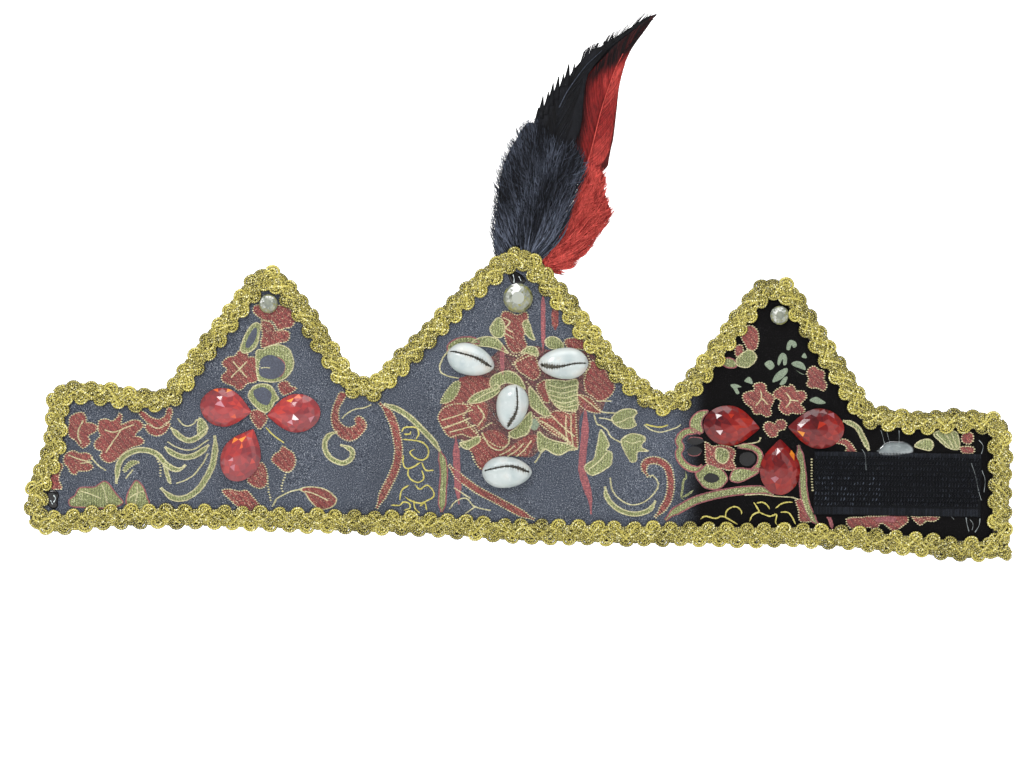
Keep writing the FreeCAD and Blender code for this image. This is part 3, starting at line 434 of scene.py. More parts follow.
    + read_motifs("""
olive dense: 237.3,22.7 240.2,25.7 245,27.1 248.1,24.8 247,20.5 242.2,21;
olive dense: 248.5,30.8 255.6,32.8 262.3,31.2 263.8,22.2 257.8,22.1 251.6,26.7;
line dense: 250.3,30.2 254,26.7 258.3,22.7;
line dense: 254.5,31.6 257.6,27.5 260.1,22.7;
line dense: 258.7,31.7 260.6,27.5 262.5,22.8;
red sparse: 265.9,30.7 271.3,31.5 272,26.7 269.1,24.8 265.4,26.5;
red sparse: 264.9,22.9 272.1,23.1 272.2,19.5 266.2,19.3;
pink plain 2.4: 185.8,-21.5 187.7,-22.6 189.6,-28.6;
red sparse: 197.8,-22.3 202,-21 206.8,-20.9 211,-20.1 217,-20 224.2,-19.2 233.2,-18.9
  234.5,-22.5 230.4,-26.2 226.3,-28.7 222,-25.8 218.3,-24.1 215.4,-28.4 211.2,-26.7 206.4,-28.1
  201.6,-28.2 198.6,-25.9;
pink plain: 215.2,-21.2 221.2,-19.8 227.2,-20.3 226.1,-23.3 220.7,-22.9 216.5,-23.6;
red sparse: 236.8,-19.4 241,-19.9 245.2,-19.1 253,-19.5 250.1,-22 245.3,-22.1 242.3,-24.6
  238.7,-22.3;
""")
)


# ------------------------------------------------------------------ curves
def smooth_path(stations, closed=False, step=0.8):
    """A Catmull-Rom curve through the stations, sampled about every step."""
    p = np.array(stations, float)
    if closed:
        knots = np.vstack([p[-1], p, p[0], p[1]])
    else:
        knots = np.vstack([2 * p[0] - p[1], p, 2 * p[-1] - p[-2]])
    out = []
    for i in range(len(p) if closed else len(p) - 1):
        a, b, c, d = knots[i : i + 4]
        count = max(1, int(math.ceil(np.linalg.norm(c - b) / step)))
        t = (np.arange(count) / count)[:, None]
        cubic = 3 * b - a - 3 * c + d
        out.append(0.5 * (2 * b + (c - a) * t + (2 * a - 5 * b + 4 * c - d) * t**2 + cubic * t**3))
    if not closed:
        out.append(p[-1:])
    return np.vstack(out)


def run_lengths(path):
    """The distance along the path at each of its points."""
    return np.r_[0, np.cumsum(np.linalg.norm(np.diff(path, axis=0), axis=1))]


def even(path, step, closed=False):
    """The same curve at an even spacing."""
    path = np.vstack([path, path[:1]]) if closed else path
    run = run_lengths(path)
    count = max(2, int(round(run[-1] / step)))
    want = np.linspace(0, run[-1], count + 1)
    if closed:
        want = want[:-1]
    return np.stack([np.interp(want, run, path[:, j]) for j in range(path.shape[1])], 1)


def tangents(path):
    along = np.gradient(path, axis=0)
    return along / np.maximum(np.linalg.norm(along, axis=1), 1e-9)[:, None]


def turn_left(along):
    """The directions a quarter turn anticlockwise, seen from the front."""
    return np.c_[-along[:, 1], along[:, 0]]


def offset_polygon(outline, amount):
    """The clockwise polygon moved inwards by amount, with sharp corners."""
    p = np.array(outline, float)
    out = []
    for i in range(len(p)):
        before, corner, after = p[i - 1], p[i], p[(i + 1) % len(p)]
        come = (corner - before) / np.linalg.norm(corner - before)
        leave = (after - corner) / np.linalg.norm(after - corner)
        inward = np.array([come[1], -come[0]])
        both = inward + np.array([leave[1], -leave[0]])
        both = both / np.linalg.norm(both)
        out.append(corner + both * amount / max(0.45, both @ inward))
    return np.array(out)


def inside(outline, places):
    """Which of the places lie inside the outline."""
    x, z = places[:, 0], places[:, 1]
    hit = np.zeros(len(places), bool)
    for (xi, zi), (xj, zj) in zip(outline, np.roll(outline, 1, 0)):
        if zi != zj:
            hit ^= ((zi > z) != (zj > z)) & (x < (xj - xi) * (z - zi) / (zj - zi) + xi)
    return hit


def relief(x, z):
    """The brocade's gentle waves, in mm towards the front."""
    return (
        0.10 * np.sin(x / 17.0 + z / 31.0)
        + 0.07 * np.sin(x / 8.3 - z / 11.0 + 1.3)
        + 0.05 * np.sin(x / 5.1 + z / 6.2 + 0.4)
    )


INNER_EDGE = offset_polygon(EDGE, 4.0)


# ------------------------------------------------------------------ meshes
class Bag:
    """Vertices in mm with a tint each, and faces with a material number each."""

    def __init__(self):
        self.vertices, self.faces, self.materials, self.tints, self.count = [], [], [], [], 0

    def add(self, vertices, faces, material=0, tint=0.5):
        vertices = np.asarray(vertices, float)
        self.vertices.append(vertices)
        self.tints.append(np.broadcast_to(np.asarray(tint, float), (len(vertices),)))
        self.faces.extend([[i + self.count for i in face] for face in faces])
        self.materials.extend([material] * len(faces))
        self.count += len(vertices)

    def arrays(self):
        vertices, tints = np.vstack(self.vertices), np.concatenate(self.tints)
        return vertices, self.faces, np.array(self.materials), tints


def make_object(name, vertices, faces, material_numbers, tints, materials, smooth=True):
    mesh = bpy.data.meshes.new(name)
    mesh.from_pydata((vertices * 0.001).tolist(), [], faces)
    for material in materials:
        mesh.materials.append(material)
    mesh.polygons.foreach_set("material_index", np.asarray(material_numbers, np.int32))
    mesh.polygons.foreach_set("use_smooth", np.full(len(faces), smooth))
    rest = mesh.attributes.new("rest", "FLOAT_VECTOR", "POINT")
    rest.data.foreach_set("vector", (vertices * 0.001).astype(np.float32).ravel())
    tint = mesh.attributes.new("tint", "FLOAT", "POINT")
    tint.data.foreach_set("value", np.asarray(tints, np.float32))
    mesh.update()
    ob = bpy.data.objects.new(name, mesh)
    scene.collection.objects.link(ob)
    return ob


def make_piece(name, bag, material, node=None, smooth=True):
    """One whole object; node is the CAD piece that it stands for."""
    ob = make_object(name, *bag.arrays(), [material], smooth)
    if node:
        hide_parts(node)
    return ob


def cut_between(mesh, x0, x1):
    """Cuts away what lies outside x0 to x1, and notes the rest shape again."""
    bm = bmesh.new()
    bm.from_mesh(mesh)
    for x, keep_above in ((x0, True), (x1, False)):
        bmesh.ops.bisect_plane(
            bm,
            geom=bm.verts[:] + bm.edges[:] + bm.faces[:],
            dist=1e-7,
            plane_co=(x * 0.001, 0, 0),
            plane_no=(1, 0, 0),
            clear_inner=keep_above,
            clear_outer=not keep_above,
        )
    bm.to_mesh(mesh)
    bm.free()
    places = np.zeros(len(mesh.vertices) * 3, np.float32)
    mesh.vertices.foreach_get("co", places)
    mesh.attributes["rest"].data.foreach_set("vector", places)


def slices(name, bag, materials, nodes, smooth=True):
    """The band bends about upright lines, so a soft layer is cut at the middle of each link. The two
    end slices are attached to the end links; the others are only baked in place and are not blended
    between links."""
    vertices, faces, numbers, tints = bag.arrays()
    first = np.array([vertices[face, 0].min() for face in faces])
    last = np.array([vertices[face, 0].max() for face in faces])
    for k in range(-SIDE_LINKS - 1, SIDE_LINKS + 1):
        x0 = k * PITCH if k > -SIDE_LINKS - 1 else -1e4
        x1 = (k + 1) * PITCH if k < SIDE_LINKS else 1e4
        picked = np.nonzero((last > x0 + 1e-6) & (first < x1 - 1e-6))[0]
        if not len(picked):
            continue
        used = sorted({i for j in picked for i in faces[j]})
        renumber = dict(zip(used, range(len(used))))
        kept = [[renumber[i] for i in faces[j]] for j in picked]
        ob = make_object(
            "%s_%02d" % (name, k + 10), vertices[used], kept, numbers[picked], tints[used],
            materials, smooth,
        )
        if ((first[picked] < x0 - 1e-6) | (last[picked] > x1 + 1e-6)).any():
            cut_between(ob.data, x0, x1)
        if not len(ob.data.polygons):
            bpy.data.objects.remove(ob)
            continue
        if k == -SIDE_LINKS - 1:
            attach(ob, LINKS[0])
        elif k == SIDE_LINKS:
            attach(ob, LINKS[-1])
        else:
            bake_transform(ob)
        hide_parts(*nodes)


def stay_tangent(ob):
    """A hard piece on the cloth keeps its shape; its placing is baked into its mesh, and nothing
    makes it turn with the cloth.
    """
    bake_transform(ob)


def turned(centre_x, centre_z, along, across, degrees):
    """x and z of a place given along and across a turned piece."""
    a = math.radians(degrees)
    x = centre_x + along * math.cos(a) - across * math.sin(a)
    z = centre_z + along * math.sin(a) + across * math.cos(a)
    return x, z


def to_world(centre_x, centre_z, degrees, places, y_face):
    """Local (along, across, height) to the crown's frame, with height towards the front."""
    p = np.asarray(places, float)
    x, z = turned(centre_x, centre_z, p[:, 0], p[:, 1], degrees)
    return np.c_[x, y_face - p[:, 2], z]


# ------------------------------------------------------------------ plates, bands and cords
def triangulate(outline, grid):
    """The outline filled with triangles, with inner points on a square grid."""
    outline = np.asarray(outline, float)
    low, high = outline.min(0), outline.max(0)
    xs = np.arange(math.floor(low[0] / grid) * grid, high[0] + grid, grid)
    zs = np.arange(math.floor(low[1] / grid) * grid, high[1] + grid, grid)
    places = np.array(np.meshgrid(xs, zs)).reshape(2, -1).T
    places = places[inside(outline, places)]
    if len(places) and len(outline) < 400:
        near = np.min(np.linalg.norm(places[:, None] - outline[None], axis=2), axis=1)
        places = places[near > 0.3 * min(grid, 1.2)]
    seeds = [Vector(p) for p in outline] + [Vector(p) for p in places]
    ring = list(range(len(outline)))
    vertices, _, triangles = delaunay_2d_cdt(seeds, [], [ring], 1, 1e-6)[:3]
    return np.array([tuple(p) for p in vertices]), [list(face) for face in triangles]


def rim_edges(triangles, collect=set):
    """The edges that one triangle alone uses; collect settles their order."""
    edges = collect(edge for a, b, c in triangles for edge in ((a, b), (b, c), (c, a)))
    return [(i, j) for (i, j) in edges if (j, i) not in edges]


def shell_faces(triangles, rim, count, back=True):
    """Front triangles, the wall along the rim and, if wanted, the back triangles."""
    faces = list(triangles) + [[j, i, i + count, j + count] for i, j in rim]
    if back:
        faces += [[c + count, b + count, a + count] for a, b, c in triangles]
    return faces


def plate(bag, outline, y_front, y_back, material, grid=2.9, tint=0.5, wave=False, back=True):
    """A flat sheet; wave gives it the brocade's relief, and back closes it with a flat back."""
    v, triangles = triangulate(outline, grid)
    if not triangles:
        return
    count = len(v)
    lift = relief(v[:, 0], v[:, 1]) if wave else 0 * v[:, 0]
    front = np.c_[v[:, 0], y_front - lift, v[:, 1]]
    rear = np.c_[v[:, 0], np.full(count, y_back) - (0 if back else lift), v[:, 1]]
    faces = shell_faces(triangles, rim_edges(triangles, dict.fromkeys), count, back)
    bag.add(np.vstack([front, rear]), faces, material, tint)


def ribbon(bag, path, width, height, y_base, material, jitter, taper=0.0):
    """A low raised band along the path, with a bevelled section."""
    path = np.asarray(path, float)
    count = len(path)
    side = turn_left(tangents(path))
    half = np.full(count, width / 2.0)
    if taper:
        share = np.linspace(0, 1, count)
        half = half * np.clip(np.minimum(share, 1 - share) / taper, 0.25, 1)
    half = half * (1 + rng.uniform(-jitter, jitter, count))
    path = path + side * rng.uniform(-0.08, 0.08, (count, 1))
    base = y_base - relief(path[:, 0], path[:, 1])
    rows = []
    for across, rise in ((-1.0, 0.0), (-0.62, 1.0), (0.62, 1.0), (1.0, 0.0)):
        p = path + side * (half * across)[:, None]
        rows.append(np.c_[p[:, 0], base - height * rise, p[:, 1]])
    faces = []
    for i in range(count - 1):
        for j in range(3):
            a = i * 4 + j
            faces.append([a, a + 4, a + 5, a + 1])
    faces.append([0, 1, 2, 3])
    faces.append([4 * count - 1, 4 * count - 2, 4 * count - 3, 4 * count - 4])
    bag.add(np.stack(rows, 1).reshape(-1, 3), faces, material)


HEXAGON = np.array([(math.cos(a), math.sin(a)) for a in np.arange(6) * math.pi / 3 + math.pi / 6])
STITCH_FACES = [[i, (i + 1) % 6, 6 + (i + 1) % 6, 6 + i] for i in range(6)] + [list(range(6, 12))]


def stitches(bag, path, y_base, spacing, long, wide, height):
    """Separate cream stitches along the path, each a weft float lying along x."""
    for x, z in even(np.asarray(path, float), spacing):
        a = long * rng.uniform(0.8, 1.2) / 2
        b = wide * rng.uniform(0.85, 1.15) / 2
        x += rng.uniform(-0.15, 0.15)
        y = y_base - float(relief(x, z))
        base = np.c_[x + HEXAGON[:, 0] * a, np.full(6, y), z + HEXAGON[:, 1] * b]
        top = np.c_[x + HEXAGON[:, 0] * a * 0.6, np.full(6, y - height), z + HEXAGON[:, 1] * b * 0.55]
        bag.add(np.vstack([base, top]), STITCH_FACES, CREAM, rng.uniform(0.2, 1))


def tube(bag, path, radius, material=0, sides=8, twist=0.0, ridge=0.13, tint=0.5, deep=False):
    """A cord along a 3-D path. Twist is the length of one turn of its two plies, and ridge is
    how far they stand out. A deep cord gets a tint of painted shade from how far each point lies back
    and how far it lies between the plies."""
    path = np.asarray(path, float)
    count = len(path)
    along = tangents(path)
    front = np.array([0, -1.0, 0])
    up = front - along * (along @ front)[:, None]
    bad = np.linalg.norm(up, axis=1) < 0.15
    if bad.any():
        # here the path runs nearly straight to the front, so the section is measured from Z
        z_up = np.array([0, 0, 1.0])
        up[bad] = (z_up - along * (along @ z_up)[:, None])[bad]
    up /= np.linalg.norm(up, axis=1)[:, None]
    side = np.cross(along, up)
    angle = np.arange(sides) * 2 * math.pi / sides
    profile, groove = 1.0, 0.0
    if twist:
        turn = 2 * math.pi * run_lengths(path) / twist
        plies = np.cos(2 * (angle[None] - turn[:, None]))
        profile, groove = 1 + ridge * plies, 0.32 * (1 - plies)
    radius = np.broadcast_to(np.asarray(radius, float), (count,))
    r = radius[:, None] * profile * np.ones((count, sides))
    v = path[:, None] + side[:, None] * (r * np.cos(angle))[..., None]
    v = v + up[:, None] * (r * np.sin(angle))[..., None]
    i = np.arange(count - 1)[:, None] * sides
    j = np.arange(sides)[None]
    k = (j + 1) % sides
    faces = np.stack([i + j, i + k, i + sides + k, i + sides + j], -1).reshape(-1, 4).tolist()
    faces.append(list(range(sides))[::-1])
    faces.append([(count - 1) * sides + q for q in range(sides)])
    if deep:
        # painted shade: points facing back and points in the grooves between the plies get a higher,
        # darker tint
        depth = (0.5 - 0.5 * np.sin(angle)[None] + groove) * np.ones((count, sides))
        tint = np.clip(0.22 * tint + 0.78 * depth, 0, 1).reshape(-1)
    bag.add(v.reshape(-1, 3), faces, material, tint)


# ------------------------------------------------------------------ materials
def rgb(text):
    """Linear colour from a hex sRGB one."""
    values = [int(text[i : i + 2], 16) / 255 for i in (0, 2, 4)]
    return [x / 12.92 if x <= 0.04045 else ((x + 0.055) / 1.055) ** 2.4 for x in values] + [1]


class Finish:
    """A node material whose patterns are measured in mm from the rest shape."""

    def __init__(self, name, rough=0.6, metal=0.0, coat=0.0, sheen=0.0, spec=0.5):
        self.material = bpy.data.materials.new(name)
        self.material.use_nodes = True
        self.tree = self.material.node_tree
        self.shader = self.tree.nodes["Principled BSDF"]
        self.set("Roughness", rough)
        self.set("Metallic", metal)
        self.set("Coat Weight", coat)
        self.set("Coat Roughness", 0.08)
        self.set("Sheen Weight", sheen)
        self.set("Specular IOR Level", spec)
        rest = self.attribute("rest", "Vector")
        scaled = self.put("ShaderNodeVectorMath", {0: rest, "Scale": 1000}, operation="SCALE")
        self.at = scaled.outputs[0]

    def feed(self, node, key, value):
        """Links a socket to the input, or sets its value."""
        if isinstance(value, bpy.types.NodeSocket):
            self.tree.links.new(value, node.inputs[key])
        else:
            node.inputs[key].default_value = value

    def set(self, key, value):
        self.feed(self.shader, key, value)

    def colour(self, value):
        self.set("Base Color", value)

    def put(self, kind, inputs, **settings):
        node = self.tree.nodes.new(kind)
        for key, value in settings.items():
            setattr(node, key, value)
        for key, value in inputs.items():
            self.feed(node, key, value)
        return node

    def attribute(self, name, output="Fac"):
        return self.put("ShaderNodeAttribute", {}, attribute_name=name).outputs[output]

    def stretch(self, x, y, z):
        return self.put(
            "ShaderNodeVectorMath", {0: self.at, 1: (x, y, z)}, operation="MULTIPLY"
        ).outputs[0]

    def noise(self, scale, detail=3, vector=None, rough=0.5):
        inputs = {"Vector": vector or self.at, "Scale": scale, "Detail": detail, "Roughness": rough}
        return self.put("ShaderNodeTexNoise", inputs).outputs[0]

    def wave(self, scale, direction, distortion=0.0):
        inputs = {"Vector": self.at, "Scale": scale, "Distortion": distortion}
        return self.put("ShaderNodeTexWave", inputs, bands_direction=direction).outputs[1]

    def ramp(self, value, *stops):
        """Stops are (position, hex colour or grey)."""
        node = self.put("ShaderNodeValToRGB", {0: value})
        elements = node.color_ramp.elements
        while len(elements) < len(stops):
            elements.new(0.5)
        for element, (position, colour) in zip(elements, stops):
            element.position = position
            element.color = rgb(colour) if isinstance(colour, str) else (colour, colour, colour, 1)
        return node.outputs[0]

    def mix(self, share, first, second, blend="MIX"):
        node = self.put("ShaderNodeMix", {}, data_type="RGBA", blend_type=blend)
        for key, value in ((0, share), (6, first), (7, second)):
            self.feed(node, key, rgb(value) if isinstance(value, str) else value)
        return node.outputs[2]

    def math(self, operation, a, b):
        return self.put("ShaderNodeMath", {0: a, 1: b}, operation=operation).outputs[0]

    def split(self, vector):
        return self.put("ShaderNodeSeparateXYZ", {0: vector}).outputs

    def bump(self, height, strength, distance=0.0002):
        inputs = {"Height": height, "Strength": strength, "Distance": distance}
        self.set("Normal", self.put("ShaderNodeBump", inputs).outputs[0])


def brocade():
    """Slate ground that turns black towards the right, with a ragged change between them. The change
    is painted light: a painted sheen on the slate side giving way to painted shade on the black side.
    """
    f = Finish("brocade_ground", rough=0.8, spec=0.07)
    fine = f.noise(scale=1.6, detail=2, rough=0.7)
    slow = f.noise(scale=0.012, detail=2)
    slate = f.ramp(fine, (0.33, "1c2027"), (0.48, "3e434d"), (0.60, "585d67"), (0.73, "a4a8ad"))
    black = f.ramp(fine, (0.35, "030303"), (0.58, "0b0a0b"), (0.80, "232123"))
    stray = f.math("MULTIPLY", f.math("SUBTRACT", slow, 0.5), 14.0)
    where = f.math("ADD", f.split(f.at)[0], stray)
    # side mixes the slate into black from x = 90 to 112 mm: painted sheen on the left, painted shade
    # on the right
    side = f.put(
        "ShaderNodeMapRange",
        {"Value": where, "From Min": 90.0, "From Max": 112.0},
        interpolation_type="SMOOTHSTEP",
    ).outputs[0]
    shade = f.ramp(f.noise(scale=0.02), (0.3, 0.78), (0.7, 1.12))
    f.colour(f.mix(1.0, f.mix(side, slate, black), shade, "MULTIPLY"))
    yarn = f.math("MULTIPLY", f.wave(scale=0.62, direction="X"), f.wave(scale=0.50, direction="Z"))
    height = f.math("ADD", f.math("MULTIPLY", yarn, 0.6), fine)
    f.bump(height, strength=0.45, distance=0.00012)
    return f.material


def thread(name, dark, mid, light, rough=0.65, metal=0.0, speck=None, hatch=("Z", 0.55, 1.5)):
    """Woven thread; hatch is the direction, scale and distortion of its rows."""
    f = Finish(name, rough=rough, metal=metal, sheen=0.1, spec=0.4)
    direction, scale, distortion = hatch
    fine = f.noise(scale=1.3, rough=0.7)
    c = f.ramp(fine, (0.30, dark), (0.50, mid), (0.74, light))
    rows = f.wave(scale, direction, distortion)
    c = f.mix(f.ramp(rows, (0.0, 0.55), (0.30, 0.10), (0.60, 0.0)), c, dark)
    c = f.mix(f.ramp(f.noise(scale=0.05, detail=2), (0.35, 0.0), (0.75, 0.35)), c, dark)
    if speck:
        c = f.mix(f.ramp(f.noise(scale=1.9, detail=1), (0.62, 0.0), (0.70, 0.85)), c, speck)
    f.colour(c)
    f.bump(f.math("ADD", rows, fine), strength=0.5, distance=0.00015)
    return f.material


def gimp():
    """Gold cord with painted shade in its hollows and small painted glints on the high strands."""
    f = Finish("gimp_gold", rough=0.38, metal=0.35)
    tint = f.attribute("tint")
    strand = f.noise(scale=0.9, detail=2, rough=0.6)
    base = f.ramp(strand, (0.30, "a3963f"), (0.50, "b9ad4f"), (0.72, "d5cb79"))
    # painted shade: a high tint, where the cord faces back or lies in a groove, darkens it to near
    # black
    hollow = f.ramp(tint, (0.20, 0.0), (0.38, 0.34), (0.55, 0.92), (0.75, 1.0))
    c = f.mix(hollow, base, "120e04")
    cells = f.put("ShaderNodeTexVoronoi", {"Vector": f.at, "Scale": 1.5}).outputs["Color"]
    few = f.ramp(f.split(cells)[0], (0.90, 0.0), (0.93, 1.0))
    # painted glints: a few cells on the high strands are mixed towards pale yellow
    painted_glint = f.math("MULTIPLY", few, f.ramp(tint, (0.2, 1.0), (0.6, 0.0)))
    f.colour(f.mix(f.math("MULTIPLY", painted_glint, 0.9), c, "fffbd0"))
    f.set("Roughness", f.ramp(f.split(cells)[1], (0.0, 0.22), (1.0, 0.46)))
    f.bump(f.noise(scale=1.2, detail=2), strength=0.05, distance=0.00010)
    return f.material


def felt(name, dark, mid, light, scale=1.1):
    f = Finish(name, rough=0.95, sheen=0.25, spec=0.2)
    fibre = f.noise(scale, detail=5, vector=f.stretch(1, 1, 0.55), rough=0.75)
    worn = f.ramp(f.noise(scale=0.03), (0.35, 0.0), (0.7, 0.4))
    f.colour(f.mix(worn, f.ramp(fibre, (0.3, dark), (0.52, mid), (0.75, light)), dark))
    f.bump(fibre, strength=0.7, distance=0.0004)
    return f.material


def gemstone(name, depth, pale_reflection_share):
    """Red stone. depth scales its brightness and is lower for painted shade on the stones to the
    right; the pale reflection share mixes a painted pale reflection over the whole stone.
    """
    f = Finish(name, coat=0.10, spec=0.32)
    # tints from 0.80 up are painted glints on single facets: orange, then lilac, then white
    # reflections
    c = f.ramp(
        f.attribute("tint"),
        (0.0, "20060a"), (0.2, "46101a"), (0.40, "741a1c"), (0.58, "9a221c"), (0.70, "b8341e"),
        (0.80, "e06420"), (0.86, "ffa634"), (0.89, "a4626c"), (0.94, "c08e98"), (0.97, "fbeeee"),
        (1.0, "fffafa"),
    )
    c = f.mix(f.ramp(f.noise(scale=0.16), (0.35, 0.0), (0.75, 0.28)), c, "a02a24")
    # painted reflection: a pale lilac veil over the stone
    c = f.mix(pale_reflection_share, c, "b48c94")
    f.colour(f.mix(1.0, c, (depth, depth * 0.92, depth * 0.93, 1.0), "MULTIPLY"))
    f.bump(f.noise(scale=0.5, detail=2), strength=0.05)
    f.set("Roughness", f.ramp(f.noise(scale=0.3, detail=2), (0.3, 0.07), (0.8, 0.16)))
    return f.material


def crystal_material():
    f = Finish("clear_crystal", rough=0.08, coat=0.5)
    c = f.ramp(
        f.attribute("tint"),
        (0.0, "3a3b28"), (0.3, "807f45"), (0.5, "62675c"), (0.72, "8f948b"), (1.0, "ffffff"),
    )
    f.colour(f.mix(f.ramp(f.noise(scale=0.35), (0.4, 0.0), (0.7, 0.45)), c, "a3a591"))
    f.bump(f.noise(scale=0.8, detail=2), strength=0.08)
    f.set("Transmission Weight", 0.15)
    return f.material


def shell_material():
    f = Finish("shell", coat=0.15, spec=0.4)
    shell_colour = f.ramp(f.noise(scale=0.09), (0.3, "98a3a4"), (0.55, "adb4b3"), (0.8, "b5afa4"))
    # painted shade for the slit and the hollows between the teeth, mixed in by the tint
    slit_shade = f.ramp(f.noise(scale=0.6), (0.3, "57534a"), (0.7, "8f887a"))
    f.colour(f.mix(f.ramp(f.attribute("tint"), (0.0, 0.0), (1.0, 1.0)), shell_colour, slit_shade))
    f.bump(f.noise(scale=0.4, detail=4), strength=0.12, distance=0.0003)
    f.set("Roughness", f.ramp(f.noise(scale=0.2), (0.3, 0.16), (0.8, 0.34)))
    return f.material


def feather(name, dark, mid, light, rough):
    f = Finish(name, rough=rough, spec=0.14)
    grain = f.noise(scale=0.9, vector=f.stretch(1, 1, 0.25), rough=0.7)
    c = f.ramp(f.attribute("tint"), (0.0, dark), (0.5, mid), (1.0, light))
    f.colour(f.mix(f.ramp(grain, (0.35, 0.55), (0.65, 0.0)), c, dark))
    f.bump(grain, strength=0.35)
    return f.material


def tape(name, dark, light, rough=0.55):
    f = Finish(name, rough=rough, spec=0.12)
    both = f.math("ADD", f.wave(scale=0.35, direction="X"), f.noise(scale=1.2))
    f.colour(f.ramp(f.math("MULTIPLY", both, 0.5), (0.25, dark), (0.75, light)))
    f.bump(both, strength=0.6)
    return f.material


def solid_glue(name, dark, light):
    f = Finish(name, rough=0.10, coat=0.25, spec=0.25)
    f.colour(f.ramp(f.noise(scale=0.12, detail=2), (0.3, dark), (0.8, light)))
    f.bump(f.noise(scale=0.2, detail=2), strength=0.05, distance=0.0003)
    return f.material


def clear_glue():
    f = Finish("clear_glue", rough=0.10, coat=0.8, spec=0.7)
    body = f.ramp(
        f.attribute("tint"), (0.0, "0b0c0e"), (0.45, "3c4244"), (0.8, "868f90"), (1.0, "b4bdbd")
    )
    cloud = f.ramp(f.noise(scale=0.18, detail=2), (0.35, 0.45), (0.65, 0.0))
    f.colour(f.mix(cloud, body, "2a2f31"))
    f.bump(f.noise(scale=0.2, detail=2), strength=0.05, distance=0.0003)
    return f.material


GROUND_CLOTH = brocade()
RED_THREAD = thread(
    "thread_red", "2c0f12", "742c2b", "a8544c", speck="d3bc98", hatch=("DIAGONAL", 0.14, 3.0)
)
OLIVE_THREAD = thread(
    "thread_olive", "2a2d1a", "737b48", "b6b985", speck="d9d8ae", hatch=("X", 0.20, 0.8)
)
CREAM_THREAD = thread("thread_cream", "847f58", "c6c095", "eeeacb", rough=0.45, metal=0.1)
PINK_THREAD = thread("thread_pink", "3e2730", "8c484b", "ba7674", hatch=("Z", 0.30, 1.5))
PALE_THREAD = thread("thread_pale_green", "4d5a4a", "77856f", "9fab98")
SLATE_THREAD = thread("thread_slate", "2a2d38", "3f4452", "5b6070")
BLACK_THREAD = thread("thread_black", "030303", "070608", "121214")
SHADE_THREAD = thread(
    "thread_shade", "1b1418", "4e2429", "8c4844", speck="b9a88c", hatch=("DIAGONAL", 0.10, 5.0)
)
GOLD_THREAD = thread("thread_gold", "857a30", "bdb35a", "e6de92", rough=0.4, metal=0.2)
GIMP = gimp()
LINING_FELT = felt("lining_felt", "070708", "131316", "2a2a2f")
CORE_FELT = felt("core_felt", "2b2a29", "4a4846", "6e6b67")
RED_STONE = gemstone("red_stone", depth=0.88, pale_reflection_share=0.12)
CRYSTAL = crystal_material()
SHELL = shell_material()
# the stones on the right are darker, painted shade
SHADED_STONE = gemstone("red_stone_in_shade", depth=0.60, pale_reflection_share=0.0)
BLACK_FEATHER = feather("feather_black", "0a0a0c", "24272f", "6c7486", rough=0.8)
RED_FEATHER = feather("feather_red", "0c0608", "82201f", "d8574e", rough=0.7)
HOOK_TAPE = tape("hook_tape", "050608", "131519", rough=0.85)
HOOK_BRISTLE = feather("hook_bristle", "060709", "1d2027", "626b7a", rough=0.5)
LOOP_PILE = felt("loop_pile", "060607", "111113", "2c2c30", scale=1.6)
QUILL_TAPE = tape("quill_tape", "141312", "34322e")
BLACK_GLUE = solid_glue("black_glue", "050506", "141416")
CLEAR_GLUE = clear_glue()
# painted highlights on the black glue
GLUE_HIGHLIGHT = solid_glue("glue_highlight", "b9c4c6", "e4eaea")

FACE_MATERIALS = [
    GROUND_CLOTH, RED_THREAD, OLIVE_THREAD, CREAM_THREAD, PINK_THREAD,
    PALE_THREAD, SLATE_THREAD, BLACK_THREAD, GOLD_THREAD, SHADE_THREAD,
]
GROUND, RED, OLIVE, CREAM, PINK, PALE, SLATE, BLACK, GOLD, SHADE = range(10)

# ------------------------------------------------------------------ brocade face and its flowers
# thread: its material and how far it stands off the ground
THREADS = {
    "shade": (SHADE, 0.06), "red": (RED, 0.12), "olive": (OLIVE, 0.16), "pink": (PINK, 0.20),
    "pale": (PALE, 0.12), "slate": (SLATE, 0.22), "black": (BLACK, 0.24),
}
LINE_STITCHES = {
    "sparse": dict(spacing=1.7, long=1.45, wide=0.95, height=0.34),
    "dense": dict(spacing=0.9, long=1.3, wide=0.85, height=0.28),
}
RIM_STITCHES = {
    "sparse": dict(spacing=1.5, long=1.35, wide=0.85, height=0.34),
    "dense": dict(spacing=0.95, long=1.3, wide=0.85, height=0.26),
}


def within_braid(path):
    return path[inside(INNER_EDGE, path)]


def weave_line(bag, edge, places):
    path = within_braid(smooth_path(places))
    if len(path) < 3:
        return
    if edge == "gold":
        ribbon(bag, even(path, 0.9), 0.9, 0.26, Y_FACE - 0.08, GOLD, jitter=0.25, taper=0.06)
    else:
        stitches(bag, path, Y_FACE - 0.1, **LINE_STITCHES[edge])


def weave_band(bag, material, edge, width, places, lift):
    """Lays the band and returns its two rims."""
    path = within_braid(even(smooth_path(places, step=1.0), 1.0))
    if len(path) < 4:
        return []
    side = turn_left(tangents(path))
    share = np.linspace(0, 1, len(path))
    half = width / 2 * np.clip(np.minimum(share, 1 - share) / 0.12, 0.3, 1)
    taper = 0.22 if edge == "plain" else 0.12
    ribbon(bag, path, width, lift, Y_FACE, material, jitter=0.06, taper=taper)
    return [path + side * half[:, None], path - side * half[:, None]]


def weave_fill(bag, material, places, lift):
    """Lays the filled ring and returns its rim."""
    ring = within_braid(smooth_path(places, True, 0.9))
    if len(ring) < 6:
        return []
    plate(bag, ring, Y_FACE - lift, Y_FACE + 0.05, material, wave=True, back=False)
    return [np.vstack([ring, ring[:1]])]


